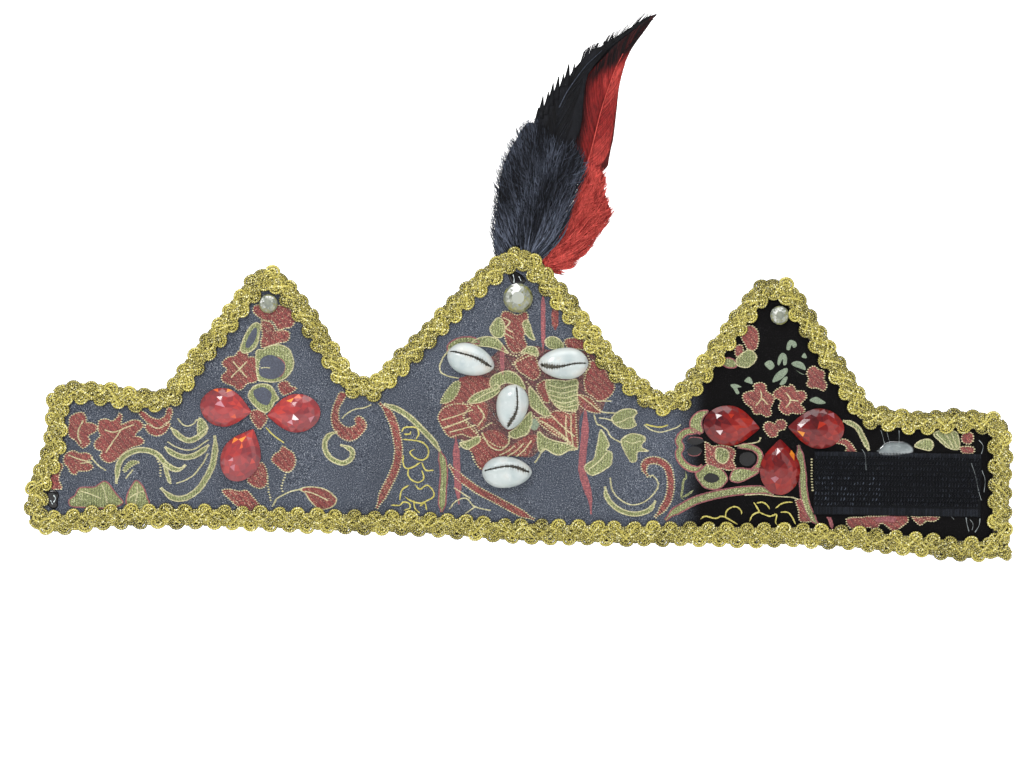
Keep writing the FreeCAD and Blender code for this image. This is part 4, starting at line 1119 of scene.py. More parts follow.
def build_face():
    bag = Bag()
    outline = even(offset_polygon(EDGE, 2.0), 2.0, True)
    plate(bag, outline, Y_FACE, Y_CORE - 0.02, GROUND, grid=PITCH / 12, wave=True)
    for layer, (thread_name, edge, width, places) in enumerate(MOTIFS, 1):
        if thread_name == "line":
            weave_line(bag, edge, places)
            continue
        material, lift = THREADS[thread_name]
        # neighbouring layers differ a little in height, so that they never coincide
        lift += (layer % 7) * 0.006
        if width:
            rims = weave_band(bag, material, edge, width, places, lift)
        else:
            rims = weave_fill(bag, material, places, lift)
        for rim in rims:
            if edge in RIM_STITCHES:
                stitches(bag, rim, Y_FACE - lift + 0.08, **RIM_STITCHES[edge])
            elif edge == "pink":
                ribbon(bag, even(rim, 1.0), 0.9, lift + 0.12, Y_FACE, PINK, jitter=0.2)
    slices("face", bag, FACE_MATERIALS, ["face_fabric"], smooth=False)


build_face()


# ------------------------------------------------------------------ stiffener and lining
def build_backing():
    bag = Bag()
    core_edge = even(offset_polygon(EDGE, 2.5), 3.0, True)
    plate(bag, core_edge, Y_CORE, Y_LINING, 1, grid=PITCH / 8)
    # the lining has a slightly uneven back that rounds off at its rim
    v, triangles = triangulate(even(offset_polygon(EDGE, 2.2), 2.0, True), PITCH / 14)
    count = len(v)
    fuzz = 0.05 * rng.standard_normal(count)
    fuzz = fuzz + 0.10 * np.sin(v[:, 0] / 9.0) * np.sin(v[:, 1] / 7.0)
    rim = rim_edges(triangles)
    fuzz[list({i for edge in rim for i in edge})] = 0.45
    front = np.c_[v[:, 0], np.full(count, Y_LINING + 0.02), v[:, 1]]
    back = np.c_[v[:, 0], Y_BACK - 0.12 - fuzz, v[:, 1]]
    bag.add(np.vstack([front, back]), shell_faces(triangles, rim, count))
    # loose fibres on the felt
    share = np.linspace(0, 1, 4)
    for _ in range(3400):
        x, z = rng.uniform(-291, 293), rng.uniform(-40, 132)
        if not inside(INNER_EDGE, np.array([[x, z]]))[0]:
            continue
        angle, size = rng.uniform(0, 2 * math.pi), rng.uniform(1.0, 2.6)
        bend = rng.uniform(-0.6, 0.6)
        heading = angle + bend * share
        y = Y_BACK - 0.2 + 0.42 * np.sin(math.pi * share)
        path = np.c_[x + size * share * np.cos(heading), y, z + size * share * np.sin(heading)]
        tube(bag, path, 0.07, sides=3, tint=0.8)
    stiffeners = ["stiffener_%s_%d" % (s, i) for s in ("left", "right") for i in range(1, 9)]
    nodes = ["lining", "stiffener_centre"] + stiffeners
    slices("backing", bag, [LINING_FELT, CORE_FELT], nodes)


build_backing()

# ------------------------------------------------------------------ gimp braid
LINE_STEP = 0.25  # spacing of the braid's centre line
LOOP_GAP = 11.0  # about the distance between loops on one side
CORD_TWIST = 2.3
SEAM_Z = -22.6  # the braid is cut into two lengths at this height
# places where the braid is fuller: x, z, radius, extra height
LUMPS = [(292.0, -40.0, 12.0, 0.5), (-289.0, -36.0, 9.0, 0.5)]


def rounded(outline, reach_in):
    """The polygon with its corners turned through a short arc."""
    p = np.asarray(outline, float)
    out = []
    for i in range(len(p)):
        corner = p[i]
        ends = []
        for other in (p[i - 1], p[(i + 1) % len(p)]):
            away = other - corner
            length = np.linalg.norm(away)
            ends.append(corner + away / length * min(reach_in, length * 0.45))
        for s in np.linspace(0, 1, 7):
            out.append((1 - s) ** 2 * ends[0] + 2 * s * (1 - s) * corner + s * s * ends[1])
    return np.array(out)


def braid_runs(line):
    """The closed centre line cut into the lower and the upper length."""
    below = line[:, 1] < SEAM_Z
    start = np.nonzero(below & ~np.roll(below, 1))[0][0]
    line, count = np.roll(line, -start, 0), int(below.sum())
    return line[:count], line[count:]


def cord(bag, path, radius, tint, ridge=0.22, sides=9):
    tube(bag, path, radius, sides=sides, twist=CORD_TWIST, ridge=ridge, deep=True, tint=tint)


def interp_rows(at, stations, table):
    return np.stack([np.interp(at, stations, table[:, i]) for i in range(2)], -1)


class BraidLine:
    """Places on the braid, measured along its centre line and outwards from it."""

    def __init__(self, line):
        self.line = line
        self.length = len(line) * LINE_STEP
        along, kernel = tangents(line), np.ones(25) / 25
        along = np.stack(
            [np.convolve(np.pad(along[:, i], 12, "edge"), kernel, "valid") for i in range(2)], 1
        )
        self.along = along / np.linalg.norm(along, axis=1)[:, None]
        self.out = turn_left(self.along)
        self.stations = np.arange(len(line)) * LINE_STEP
        # a slow wander: amplitude, wavelength / 2 pi, phase
        wander = ((0.5, 31.0, 0.3), (0.35, 13.0, 1.9), (0.2, 6.1, 0.7))
        self.sway = sum(a * np.sin(self.stations / w + phase) for a, w, phase in wander)

    def spot(self, s, offset, height):
        s = np.clip(s, 0, self.length - LINE_STEP)
        out = interp_rows(s, self.stations, self.out)
        offset = offset + np.interp(s, self.stations, self.sway) * 0.5
        p = interp_rows(s, self.stations, self.line) + out * offset[:, None]
        extra = sum(
            a * np.exp(-(((p[:, 0] - x) ** 2 + (p[:, 1] - z) ** 2) / r**2)) for x, z, r, a in LUMPS
        )
        return np.c_[p[:, 0], Y_FACE - 0.02 - height * 0.93 * BRAID_UNIT - extra, p[:, 1]]

    def patch(self, s, offset, u, w, height):
        """Points on a flat patch about one place, so that a loop stays round at a corner."""
        s = np.clip(s, 0, self.length - LINE_STEP)
        centre = self.spot(np.array([s]), np.array([offset]), np.array([0.0]))[0]
        along = interp_rows(s, self.stations, self.along)
        out = interp_rows(s, self.stations, self.out)
        x = centre[0] + along[0] * u + out[0] * w
        z = centre[2] + along[1] * u + out[1] * w
        return np.c_[x, centre[1] - height * 0.93 * BRAID_UNIT, z]


SCROLL_TURNS = 1.72


def scroll_radius(share, size):
    """The scroll winds inwards round a small hole."""
    return (3.95 - 2.75 * share**0.95) * size


def braid_loop(bag, braid, s, sign, row_offset, gap):
    """One scroll with the cords about it; sign is 1 on the outer side and -1 on the inner."""
    offset = sign * (row_offset + rng.uniform(-0.3, 0.3))
    tone = rng.uniform(0, 1)
    size = rng.uniform(0.93, 1.05) * (1.04 if sign > 0 else 1.0)
    lean = rng.uniform(-0.25, 0.25)
    # the cord comes in from the middle and winds up into the scroll
    angle = np.linspace(-math.pi / 2, -math.pi / 2 + 2 * math.pi * SCROLL_TURNS, 64)
    share = np.linspace(0, 1, len(angle))
    r = scroll_radius(share, size)
    lead = np.linspace(0, 1, 12)[:-1]
    u = np.r_[-gap * 0.66 * (1 - lead), 1.17 * r * np.cos(angle) + lean * r * np.sin(angle)]
    w = np.r_[-sign * (3.95 * size + (1 - lead) ** 2 * 0.5), r * np.sin(angle) * sign]
    height = np.r_[0.9 + 0.35 * lead, 1.15 + 0.45 * share + 0.25 * np.sin(angle + 0.6)]
    radius = np.r_[np.full(11, 0.86), 0.90 - 0.10 * share] * size
    cord(bag, braid.patch(s, offset, u, w, height), radius, tone, ridge=0.13)
    short_cords = ((1.3, 0.5), (0.1, 0.8))
    if sign > 0:
        # a ring at the bottom of the hole, tinted fully dark as painted shade
        around = np.linspace(0, 2 * math.pi, 18)
        hole = braid.patch(
            s, offset, 1.25 * np.cos(around), 1.25 * np.sin(around), np.full(18, 0.45)
        )
        tube(bag, hole, 1.15, sides=6, tint=1.0)
        short_cords = ((3.2, 0.45), (1.8, 0.7), (0.5, 0.9))
    # short cords under the gap between this loop and the next: reach outwards, height
    q = np.linspace(0, 1, 12)
    for outwards, level in short_cords:
        w = sign * (outwards - 1.3 * (2 * q - 1) ** 2)
        height = level + 0.15 * np.sin(math.pi * q)
        path = braid.patch(s + gap * 0.5, sign * 2.0, (q - 0.5) * 7.6, w, height)
        cord(bag, path, 0.98, rng.uniform(0.3, 1), sides=7)
    # the same cord leaves the scroll and crosses the middle to the loop on the other side
    q = np.linspace(0, 1, 26)
    path = braid.spot(
        s + (-2.2 + (gap * 0.5 + 4.4) * q),
        sign * (4.2 - 8.4 * (q * q * (3 - 2 * q))),
        1.65 + 0.55 * np.sin(math.pi * q) - 0.45 * np.abs(2 * q - 1) ** 3,
    )
    cord(bag, path, 0.86, rng.uniform(0, 1))


def lay_braid(bag, line, outer_row):
    """Both rows of loops, the ground cords and three plaited cords down the middle."""
    braid = BraidLine(line)
    length = braid.length
    count = int(length // LOOP_GAP)
    gap = length / count
    for sign, shift, row_offset in ((1, 0.25, outer_row), (-1, 0.75, 3.45)):
        for i in range(count):
            s = (i + shift + rng.uniform(-0.06, 0.06)) * gap
            braid_loop(bag, braid, s, sign, row_offset, gap)
    # the ground cords under the loops are tinted fully dark, painted shade in the gaps between the
    # loops
    s = np.arange(0, length, 0.8)
    for offset in np.arange(-3.5, 3.9, 1.4):
        wander = offset + 0.2 * np.sin(s / 5.0 + offset)
        path = braid.spot(s, wander, 0.45 + 0.1 * np.sin(s / 3.0 + offset))
        tube(bag, path, 0.85, sides=6, tint=1.0)
    wave = length / max(1, round(length / 17.0))
    s = np.arange(0, length, 0.5)
    for j in range(3):
        a = 2 * math.pi * (s / wave + j / 3)
        offset = 1.75 * np.sin(a) + 0.25 * np.sin(s / 7.0 + j)
        height = 1.62 + 0.42 * np.cos(2 * a) + 0.2 * np.sin(s / 9.0 + j)
        cord(bag, braid.spot(s, offset, height), 0.88, 0.15 + 0.3 * j)


def corner_scroll(bag, x, z, size, start_angle):
    """A single scroll round a small ring."""
    share = np.linspace(0, 1, 60)
    angle = start_angle + 2 * math.pi * SCROLL_TURNS * share
    r = scroll_radius(share, size)
    y = Y_FACE - 0.02 - (1.2 + 0.45 * share) * BRAID_UNIT
    path = np.c_[x + r * np.cos(angle), y, z + r * np.sin(angle)]
    cord(bag, path, (0.9 - 0.1 * share) * size, 0.6, ridge=0.12)
    # the small ring in the middle is tinted dark, painted shade in the hole of the scroll
    angle = np.linspace(0, 2 * math.pi, 26)
    path = np.c_[x + 1.5 * np.cos(angle), np.full(26, Y_FACE - 0.6), z + 1.5 * np.sin(angle)]
    tube(bag, path, 1.0, sides=7, deep=True, tint=0.9)


def build_braid():
    bag = Bag()
    centre_line = even(rounded(offset_polygon(EDGE, 4.4), 4.2), LINE_STEP, True)
    lower, upper = braid_runs(centre_line)
    lay_braid(bag, lower, outer_row=4.2)
    lay_braid(bag, upper, outer_row=3.75)
    corner_scroll(bag, 294.3, -41.2, size=0.86, start_angle=0.6)
    slices("braid", bag, [GIMP], ["braid_top", "braid_bottom"])


build_braid()

# ------------------------------------------------------------------ closure tapes and quill bed
TAPE_LONG, TAPE_TALL = 100.4, 38.0
HOOK_TURN = 0.7  # degrees


def tape_outline(centre_x, centre_z, degrees):
    """The long sides are straight selvages and the two cut ends are slightly ragged."""
    ring = []
    for sign, ragged in ((-1, (-0.35, 0.1)), (1, (-0.1, 0.35))):
        u_end, w_end = sign * TAPE_LONG / 2, sign * TAPE_TALL / 2
        for u in np.arange(u_end, -u_end, -sign * 2.9):
            ring.append((u, w_end + rng.uniform(-0.05, 0.05)))
        for w in np.arange(w_end, -w_end, -sign * 0.9):
            ring.append((-u_end + rng.uniform(*ragged), w))
    return [turned(centre_x, centre_z, u, w, degrees) for u, w in ring]


def build_hook_tape():
    bag = Bag()
    low, high = node_box("hook_strip")
    centre = (low[0] + high[0]) / 2, (low[2] + high[2]) / 2
    y = high[1] - 0.25
    plate(bag, tape_outline(*centre, HOOK_TURN), y - 0.55, y + 0.1, 0)
    # the ribbed selvages
    for low_edge, high_edge in ((-18.5, -14.2), (16.2, 18.7)):
        for u in np.arange(-49.5, 49.7, 0.88):
            w = np.linspace(low_edge, high_edge, 7) + rng.uniform(-0.12, 0.12)
            x, z = turned(*centre, np.full(7, u) + 0.05 * np.sin(w * 2.1), w, HOOK_TURN)
            tint = 0.30 + 0.22 * (rng.random() < 0.4)
            tube(bag, np.c_[x, np.full(7, y - 0.5), z], 0.34, 1, sides=5, tint=tint)
    # rows of hooks: each one a short bristle that curls over
    share = np.linspace(0, 1, 6)
    rise = 0.95 * np.sin(math.pi * share * 0.82)
    for i, row in enumerate(np.arange(-13.2, 16.0, 1.55)):
        way = -1 if i % 2 else 1
        for station in np.arange(-48.9, 49.2, 1.9):
            row = row + rng.uniform(-0.10, 0.10)
            u = station + 0.35 * math.sin(row * 1.9 + station * 0.05) + rng.uniform(-0.22, 0.22)
            length = 1.25 * rng.uniform(0.75, 1.2)
            a = rng.uniform(-0.4, 0.4) + 1.35
            step = length * (1 - np.cos(math.pi * share * 0.95)) / 2 * way
            x, z = turned(*centre, u + step * math.cos(a), row + step * math.sin(a), HOOK_TURN)
            glint = 0.40 if (u < -10 and row < 4 and rng.random() < 0.35) else 0
            tint = rng.uniform(0.05, 0.6) + glint
            tube(bag, np.c_[x, y - 0.5 - rise, z], 0.22, 1, sides=4, tint=tint)
    slices("hook_tape", bag, [HOOK_TAPE, HOOK_BRISTLE], ["hook_strip"])


def build_loop_tape():
    bag = Bag()
    low, high = node_box("loop_strip")
    centre_x, centre_z = (low[0] + high[0]) / 2, (low[2] + high[2]) / 2
    plate(bag, tape_outline(centre_x, centre_z, 0.0), Y_BACK - 0.35, Y_BACK + 0.32, 0)
    share = np.linspace(0, 1, 6)
    for _ in range(3600):
        u, w = rng.uniform(-49.4, 49.4), rng.uniform(-18.2, 18.2)
        a, size = rng.uniform(0, 2 * math.pi), rng.uniform(0.6, 1.3)
        x = centre_x + u + size * (share - 0.5) * math.cos(a)
        y = Y_BACK + 0.3 + rng.uniform(0.5, 0.95) * np.sin(math.pi * share)
        z = centre_z + w + size * (share - 0.5) * math.sin(a) + 0.3 * np.sin(2 * math.pi * share)
        tube(bag, np.c_[x, y, z], 0.12, sides=3, tint=rng.uniform(0, 1))
    slices("loop_tape", bag, [LOOP_PILE], ["loop_strip"])


def build_quill_bed():
    """A tape with wavy cords across it."""
    bag = Bag()
    low, high = node_box("quill_binding")
    x0, z0, x1, z1 = low[0], low[2], high[0], high[2]
    ring = even(np.array([(x0, z0), (x1, z0), (x1, z1), (x0, z1)]), 1.5, True)
    plate(bag, ring, high[1] - 0.9, high[1] - 0.05, 0)
    x = np.linspace(x0 + 1, x1 - 1, 14)
    for z in np.arange(z0 + 2, z1 - 1, 3.2):
        path = np.c_[x, np.full(14, high[1] - 0.95), z + 0.8 * np.sin(x)]
        tube(bag, path, 0.22, sides=5, twist=1.2)
    slices("quill_bed", bag, [QUILL_TAPE], ["quill_binding"])


build_hook_tape()
build_loop_tape()
build_quill_bed()


# ------------------------------------------------------------------ facets
def quad_band(lower, upper, count):
    faces = []
    for j in range(count):
        k = (j + 1) % count
        faces.append([lower + j, lower + k, upper + k, upper + j])
    return faces


def triangle_band(lower, upper, count, leans):
    """Two triangles to each step between rings; leans chooses their diagonal."""
    faces = []
    for j in range(count):
        a, b, c, d = lower + j, lower + (j + 1) % count, upper + j, upper + (j + 1) % count
        faces += [[a, b, d], [c, a, d]] if leans else [[a, b, c], [c, b, d]]
    return faces


def facet_bag(vertices, faces, tones, placing, y_base):
    """Every facet has its own vertices, so that its tone is its own."""
    bag = Bag()
    for face, tone in zip(faces, tones):
        placed = to_world(*placing, vertices[face], y_base)
        bag.add(placed, [list(range(len(face)))], tint=float(np.clip(tone, 0.02, 1)))
    return bag


# ------------------------------------------------------------------ teardrop stones
STONE_SIDES = 14
STONE_CENTRE = np.array([-1.2, 0.0])
STONE_TOP = 5.9
# half outline from the blunt end to the point: share of the length, share of the half width
TEARDROP = [
    (0.0, 0.0), (0.018, 0.27), (0.07, 0.52), (0.16, 0.76), (0.28, 0.93), (0.42, 1.0), (0.55, 0.97),
    (0.66, 0.84), (0.76, 0.66), (0.86, 0.41), (0.935, 0.205), (0.98, 0.085), (1.0, 0.0),
]
# name, centre x and z, turn of the point, length, width,
# single facets with a painted glint (along, across, tint), broad areas of painted light and shade
# (along, across, size, change of tint)
STONES = [
    ("gem_left_outer", -175.5, 33.3, -7.6, 31.0, 23.0,
     [(-7, 9, 0.80), (-1, 9.5, 0.84), (-4, 2.5, 0.93), (6, -4.5, 0.75), (8, 3, 0.68)],
     [(-9, 3, 8, -0.14), (7, -2, 8, 0.10)]),
    ("gem_left_inner", -134.9, 31.2, 186.0, 32.0, 23.0,
     [(-0.5, 3.0, 0.98), (2.5, 4.5, 0.94), (0.5, -8.8, 0.86), (-3.5, -9.0, 0.80), (9, 3, 0.66),
      (-10, 4, 0.90)],
     [(-8, 2, 8, -0.12), (8, -1, 7, 0.10)]),
    ("gem_left_lower", -165.1, 5.6, 67.9, 33.4, 23.4,
     [(9.5, 4.0, 0.86), (6.5, 6.5, 0.83), (5.0, 2.0, 0.78), (-4, 4.5, 0.93), (-8, 1, 0.90),
      (-2, -8, 0.70)],
     [(4, -6, 7, -0.14), (-6, 6, 8, 0.05), (12, 0, 4, 0.12)]),
    ("gem_right_inner", 127.2, 31.5, -3.1, 33.8, 24.0,
     [(-6.5, -3.6, 0.97), (12.0, 3.4, 0.89), (-1, 5.0, 0.70)],
     [(-10, 3, 9, -0.26), (6, -1, 9, 0.12), (-4, -8, 5, 0.05)]),
    ("gem_right_outer", 177.8, 31.5, 178.7, 33.6, 24.0,
     [(12.0, 1.2, 0.90), (9.0, 3.4, 0.86), (-9.5, -7.0, 0.90), (-1.5, -1.0, 0.70)],
     [(3, -6, 9, -0.26), (-1, 0, 6, -0.14), (-9, 4, 8, 0.12), (9, 5, 5, 0.08)]),
    ("gem_right_lower", 156.9, 7.8, 91.7, 33.4, 24.2,
     [(9.5, -6.6, 0.86), (7.0, -8.4, 0.84), (-8.0, 4.0, 0.91), (-6.5, 1.5, 0.90),
      (-11, 1, 0.66)],
     [(3, 0, 7, -0.22), (-9, -3, 8, 0.10), (0, -9, 5, 0.10)]),
]


def teardrop(long, wide, count):
    """Its outline, evenly spaced, the point at +x and the box centred on the origin."""
    half = [(long * (0.5 - (1 - s)), wide / 2 * w) for s, w in TEARDROP]
    path = smooth_path(half[::-1] + [(x, -z) for x, z in half[1:-1]], True, 0.1)
    around = np.linalg.norm(np.diff(np.vstack([path, path[:1]]), axis=0), axis=1).sum()
    return even(path, around / count, True)[:count]


def stone_shape(long, wide):
    """Vertices and faces of a cut stone; the upright skirt facets come first."""
    count, rim = STONE_SIDES, 4 * STONE_SIDES
    outline = teardrop(long, wide, rim)
    v, starts = [], []
    # share of the outline, height, and which of its points the ring uses
    rings = (
        (1.0, 0.3, outline), (1.0, 1.3, outline), (0.80, 3.7, outline[2::4]),
        (0.60, 5.0, outline[0::4]), (0.36, 5.75, outline[2::4]),
    )
    for share, height, ring in rings:
        starts.append(len(v))
        for p in ring:
            x, z = STONE_CENTRE + (p - STONE_CENTRE) * share
            v.append((x, z, height))
    faces = quad_band(starts[0], starts[1], rim)
    a, b = starts[1], starts[2]
    for j in range(count):
        following = a + (4 * j + 4) % rim
        faces.append([a + 4 * j, a + 4 * j + 1, a + 4 * j + 2, b + j])
        faces.append([a + 4 * j + 2, a + 4 * j + 3, following, b + j])
        faces.append([following, b + (j + 1) % count, b + j])
    faces += triangle_band(starts[2], starts[3], count, True)
    faces += triangle_band(starts[3], starts[4], count, False)
    # the flat top is cut into a few broad areas round a middle point
    v.append((STONE_CENTRE[0] + 1.0, 0.4, STONE_TOP))
    top = starts[4]
    for j in range(0, count, 2):
        faces.append([top + j, top + (j + 1) % count, top + (j + 2) % count, len(v) - 1])
    faces.append(list(range(rim))[::-1])
    return np.array(v), faces


def build_stone(name, x, z, turn, long, wide, glint_facets, areas):
    v, faces = stone_shape(long, wide)
    stone_rng = np.random.default_rng(int(abs(x) * 7))
    mids = np.array([v[face].mean(0) for face in faces])
    a, skirt = math.radians(turn), 4 * STONE_SIDES
    # painted light: facets higher up on the crown are given a lighter tone
    top_light = 0.5 * (mids[:, 1] * math.cos(a) + mids[:, 0] * math.sin(a)) / (wide / 2)
    tones = 0.50 + 0.05 * top_light + stone_rng.uniform(-0.12, 0.10, len(faces))
    # broad areas of painted light and shade
    for along, across, size, change in areas:
        far = (mids[:, 0] - along) ** 2 + (mids[:, 1] - across) ** 2
        tones += change * np.exp(-(far / size**2))
    # painted shade: facets near the rim are darker, and the upright skirt facets are set dark
    from_centre = (mids[:, :2] - STONE_CENTRE) / np.array([long / 2, wide / 2])
    tones -= 0.16 * np.clip(np.linalg.norm(from_centre, axis=1) - 0.80, 0, 1) / 0.3
    tones = np.clip(tones, 0.05, 0.70)
    tones[:skirt] = 0.20 + stone_rng.uniform(-0.05, 0.1, skirt)
    # painted glints: single facets set to the bright tints at the top of the ramp
    for along, across, tone in glint_facets:
        far = np.linalg.norm(mids[:, :2] - np.array([along, across]), axis=1)
        # facets near the cloth are pushed out of the running
        tones[np.argmin(far + (mids[:, 2] < 1.5) * 50)] = tone
    bag = facet_bag(v, faces, tones, (x, z, turn), Y_FACE - 0.05)
    # the stones right of the middle take the darker material, painted shade
    material = RED_STONE if x < 0 else SHADED_STONE
    stay_tangent(make_piece(name, bag, material, name, smooth=False))


for stone in STONES:
    build_stone(*stone)

# ------------------------------------------------------------------ round crystals
CRYSTAL_SIDES = 16
# rings from the base up: share of the radius, share of the height, shift in sides
CRYSTAL_RINGS = (
    (0.96, 0.0, 0), (1.0, 0.22, 0), (1.0, 0.34, 0), (0.84, 0.66, 0.5), (0.60, 0.88, 0),
    (0.42, 1.0, 0.5),
)


def build_crystal(name, x, edge_share, edge_tone, middle_tone, darkest, streak):
    """Tones change at edge_share of the radius and vary from darkest to 0.22 about their mean."""
    low, high = node_box(name)
    radius, tall = (high[0] - low[0]) / 2, high[1] - low[1]
    crystal_rng = np.random.default_rng(int(abs(x) * 10))
    count = CRYSTAL_SIDES
    v = []
    for share, height, shift in CRYSTAL_RINGS:
        for j in range(count):
            a = 2 * math.pi * (j + shift) / count
            reach_out = radius * share
            v.append((reach_out * math.cos(a), reach_out * math.sin(a), height * tall))
    faces = quad_band(0, count, count) + quad_band(count, 2 * count, count)
    for ring in (2, 3, 4):
        faces += triangle_band(ring * count, (ring + 1) * count, count, ring == 3)
    faces.append([5 * count + j for j in range(count)])
    faces.append(list(range(count))[::-1])
    v = np.array(v)
    mids = np.array([v[face].mean(0) for face in faces])
    tones = np.where(
        np.linalg.norm(mids[:, :2], axis=1) / radius > edge_share, edge_tone, middle_tone
    )
    tones = tones + crystal_rng.uniform(darkest, 0.22, len(faces))
    # painted light: facets on the upper-left side are lighter
    tones = tones + 0.12 * np.cos(np.arctan2(mids[:, 1], mids[:, 0]) - 2.2)
    # painted highlight: a white streak across the upper facets
    if streak:
        tones[(np.abs(mids[:, 0] + 0.8) < 2.2) & (mids[:, 1] > 0)] = 0.95
    placing = (low[0] + high[0]) / 2, (low[2] + high[2]) / 2, 8.0
    bag = facet_bag(v, faces, tones, placing, high[1] - 0.02)
    stay_tangent(make_piece(name, bag, CRYSTAL, name, smooth=False))


SIDE_TONES = dict(edge_share=0.8, edge_tone=0.42, middle_tone=0.60, darkest=-0.2, streak=False)
build_crystal(
    "crystal_centre", -2.8, edge_share=0.75, edge_tone=0.28, middle_tone=0.52, darkest=-0.18,
    streak=True,
)
build_crystal("crystal_left", -152.0, **SIDE_TONES)
build_crystal("crystal_right", 154.0, **SIDE_TONES)

# ------------------------------------------------------------------ cowrie shells
SHELL_ROWS, SHELL_COLUMNS = 168, 97
TOOTH_PITCH = 1.5
# name, centre x and z, turn of the narrow end, length, width,
# where the slit lies at its wide end, middle and narrow end, and how far it gapes
COWRIES = [
    ("cowrie_upper_left", -29.9, 66.3, -15.0, 29.2, 18.9, (0.36, 0.22, -0.10), 0.62),
    ("cowrie_upper_right", 25.4, 65.9, 182.0, 30.2, 19.0, (0.02, 0.14, 0.26), 0.95),
    ("cowrie_middle", -4.5, 38.9, 262.0, 27.4, 19.2, (0.16, 0.30, -0.16), 0.72),
    ("cowrie_bottom", -6.3, -0.2, 2.0, 30.0, 19.0, (0.24, 0.38, 0.04), 0.62),
]


def cowrie_surface(long, wide, tall, slit, gaping):
    """The domed top as a grid of points, and how much painted shade each one has."""
    ends = np.sin(np.linspace(-math.pi / 2, math.pi / 2, SHELL_ROWS))
    sides = np.linspace(-1, 1, SHELL_COLUMNS)
    # columns gather at the slit
    sides = np.sign(sides) * np.abs(sides) ** 1.15
    end, side = np.meshgrid(ends, sides, indexing="ij")
    half = wide / 2 * np.clip(1 - np.abs(end) ** 2.2, 0, 1) ** 0.60 * (1 - 0.15 * end) * 1.03
    half = half * (wide / 2 / half.max())
    line = slit[0] * (end * end - end) / 2 + slit[1] * (1 - end * end)
    line = line + slit[2] * (end * end + end) / 2 + 0.07 * np.sin(end * 3.4 + 0.4)
    along = end * long / 2
    place = np.where(side < 0, line + side * (1 + line), line + side * (1 - line))
    across = place * half
    dome = np.sqrt(np.clip(1 - np.clip(np.abs(place), 0, 1) ** 2.3, 0, 1))
    dome = dome * np.clip(1 - np.abs(end) ** 3.2, 0, 1) ** 0.5
    height = tall * (0.16 + 0.80 * dome) * np.where(np.abs(end) > 0.999, 0.3, 1)
    # the slit, its rolled lips and the hollows between its teeth
    away = np.abs(across - line * half)
    wavy = along + 0.25 * np.sin(along * 2.3)
    teeth = 0.5 + 0.5 * np.cos(2 * math.pi * wavy / TOOTH_PITCH)
    run = np.clip((0.93 - np.abs(end)) / 0.08, 0, 1)
    gape = 0.20 + 0.8 * gaping * np.clip(end * 0.9 + 0.35, 0, 1) ** 1.6
    gape = (gape - 0.55 * np.clip((end - 0.55) / 0.38, 0, 1)).clip(0.16) * run
    wall = gape * (0.80 + 0.75 * (1 - teeth)) + 0.06
    groove = np.exp(-((away / (wall * 1.15)) ** 4)) * run
    tooth_reach = 2.5 * np.clip(end * 0.8 + 0.75, 0.25, 1)
    roll = np.exp(-(((away - 1.9) / 1.4) ** 2)) * run * 0.45
    hollow = np.clip(1.2 - 1.7 * teeth, 0, 1) * run
    hollow = hollow * np.clip(1 - (away - gape) / tooth_reach, 0, 1) * (away > gape * 0.6)
    height = height + roll - 0.35 * hollow - groove * np.minimum(3.4, tall * 0.42)
    height = np.maximum(height, 0.05)
    # painted shade: dark in the slit, in the hollows between the teeth and faintly along the slit
    dark = groove * 0.85 + 0.66 * hollow + 0.10 * np.exp(-((away / 2.6) ** 2)) * run
    return np.stack([along, across, height], -1).reshape(-1, 3), np.clip(dark, 0, 1).reshape(-1)


def build_cowrie(name, x, z, turn, long, wide, slit, gaping):
    low, high = node_box(name)
    v, dark = cowrie_surface(long, wide, high[1] - low[1], slit, gaping)
    rows, columns, count = SHELL_ROWS, SHELL_COLUMNS, len(v)
    faces = []
    for i in range(rows - 1):
        for j in range(columns - 1):
            a = i * columns + j
            faces.append([a, a + columns, a + columns + 1, a + 1])
    # the two long rims are dropped to the cloth and closed underneath
    rims = (np.arange(rows) * columns)[:, None] + np.array([0, columns - 1])[None]
    base = v[rims].reshape(-1, 3).copy()
    base[:, 2] = 0
    for i in range(rows - 1):
        a, b, foot = i * columns, (i + 1) * columns, count + 2 * i
        faces.append([a, foot, foot + 2, b])
        faces.append([b + columns - 1, foot + 3, foot + 1, a + columns - 1])
        faces.append([foot, foot + 1, foot + 3, foot + 2])
    bag = Bag()
    placed = to_world(x, z, turn, np.vstack([v, base]), high[1] - 0.05)
    bag.add(placed, faces, tint=np.r_[dark, np.zeros(2 * rows)])
    stay_tangent(make_piece(name, bag, SHELL, name))


for cowrie in COWRIES:
    build_cowrie(*cowrie)


# ------------------------------------------------------------------ glue
def glue_pool(bag, outline, height, grid):
    """A domed drop of glue on the cloth."""
    ring = smooth_path(points(outline), True, 0.5)
    v, triangles = triangulate(ring, grid)
    inward = np.min(np.linalg.norm(v[:, None] - ring[None], axis=2), axis=1)
    share = np.clip(inward / (0.45 * inward.max()), 0, 1)
    top = height * np.clip(1 - (1 - share) ** 2, 0, 1) ** 0.5
    count = len(v)
    front = np.c_[v[:, 0], Y_FACE - 0.06 - top, v[:, 1]]
    back = np.c_[v[:, 0], np.full(count, Y_FACE), v[:, 1]]
    tint = np.r_[0.70 * np.clip(top / height, 0, 1) ** 2.2, np.zeros(count)]
    faces = shell_faces(triangles, rim_edges(triangles), count)
    bag.add(np.vstack([front, back]), faces, tint=tint)


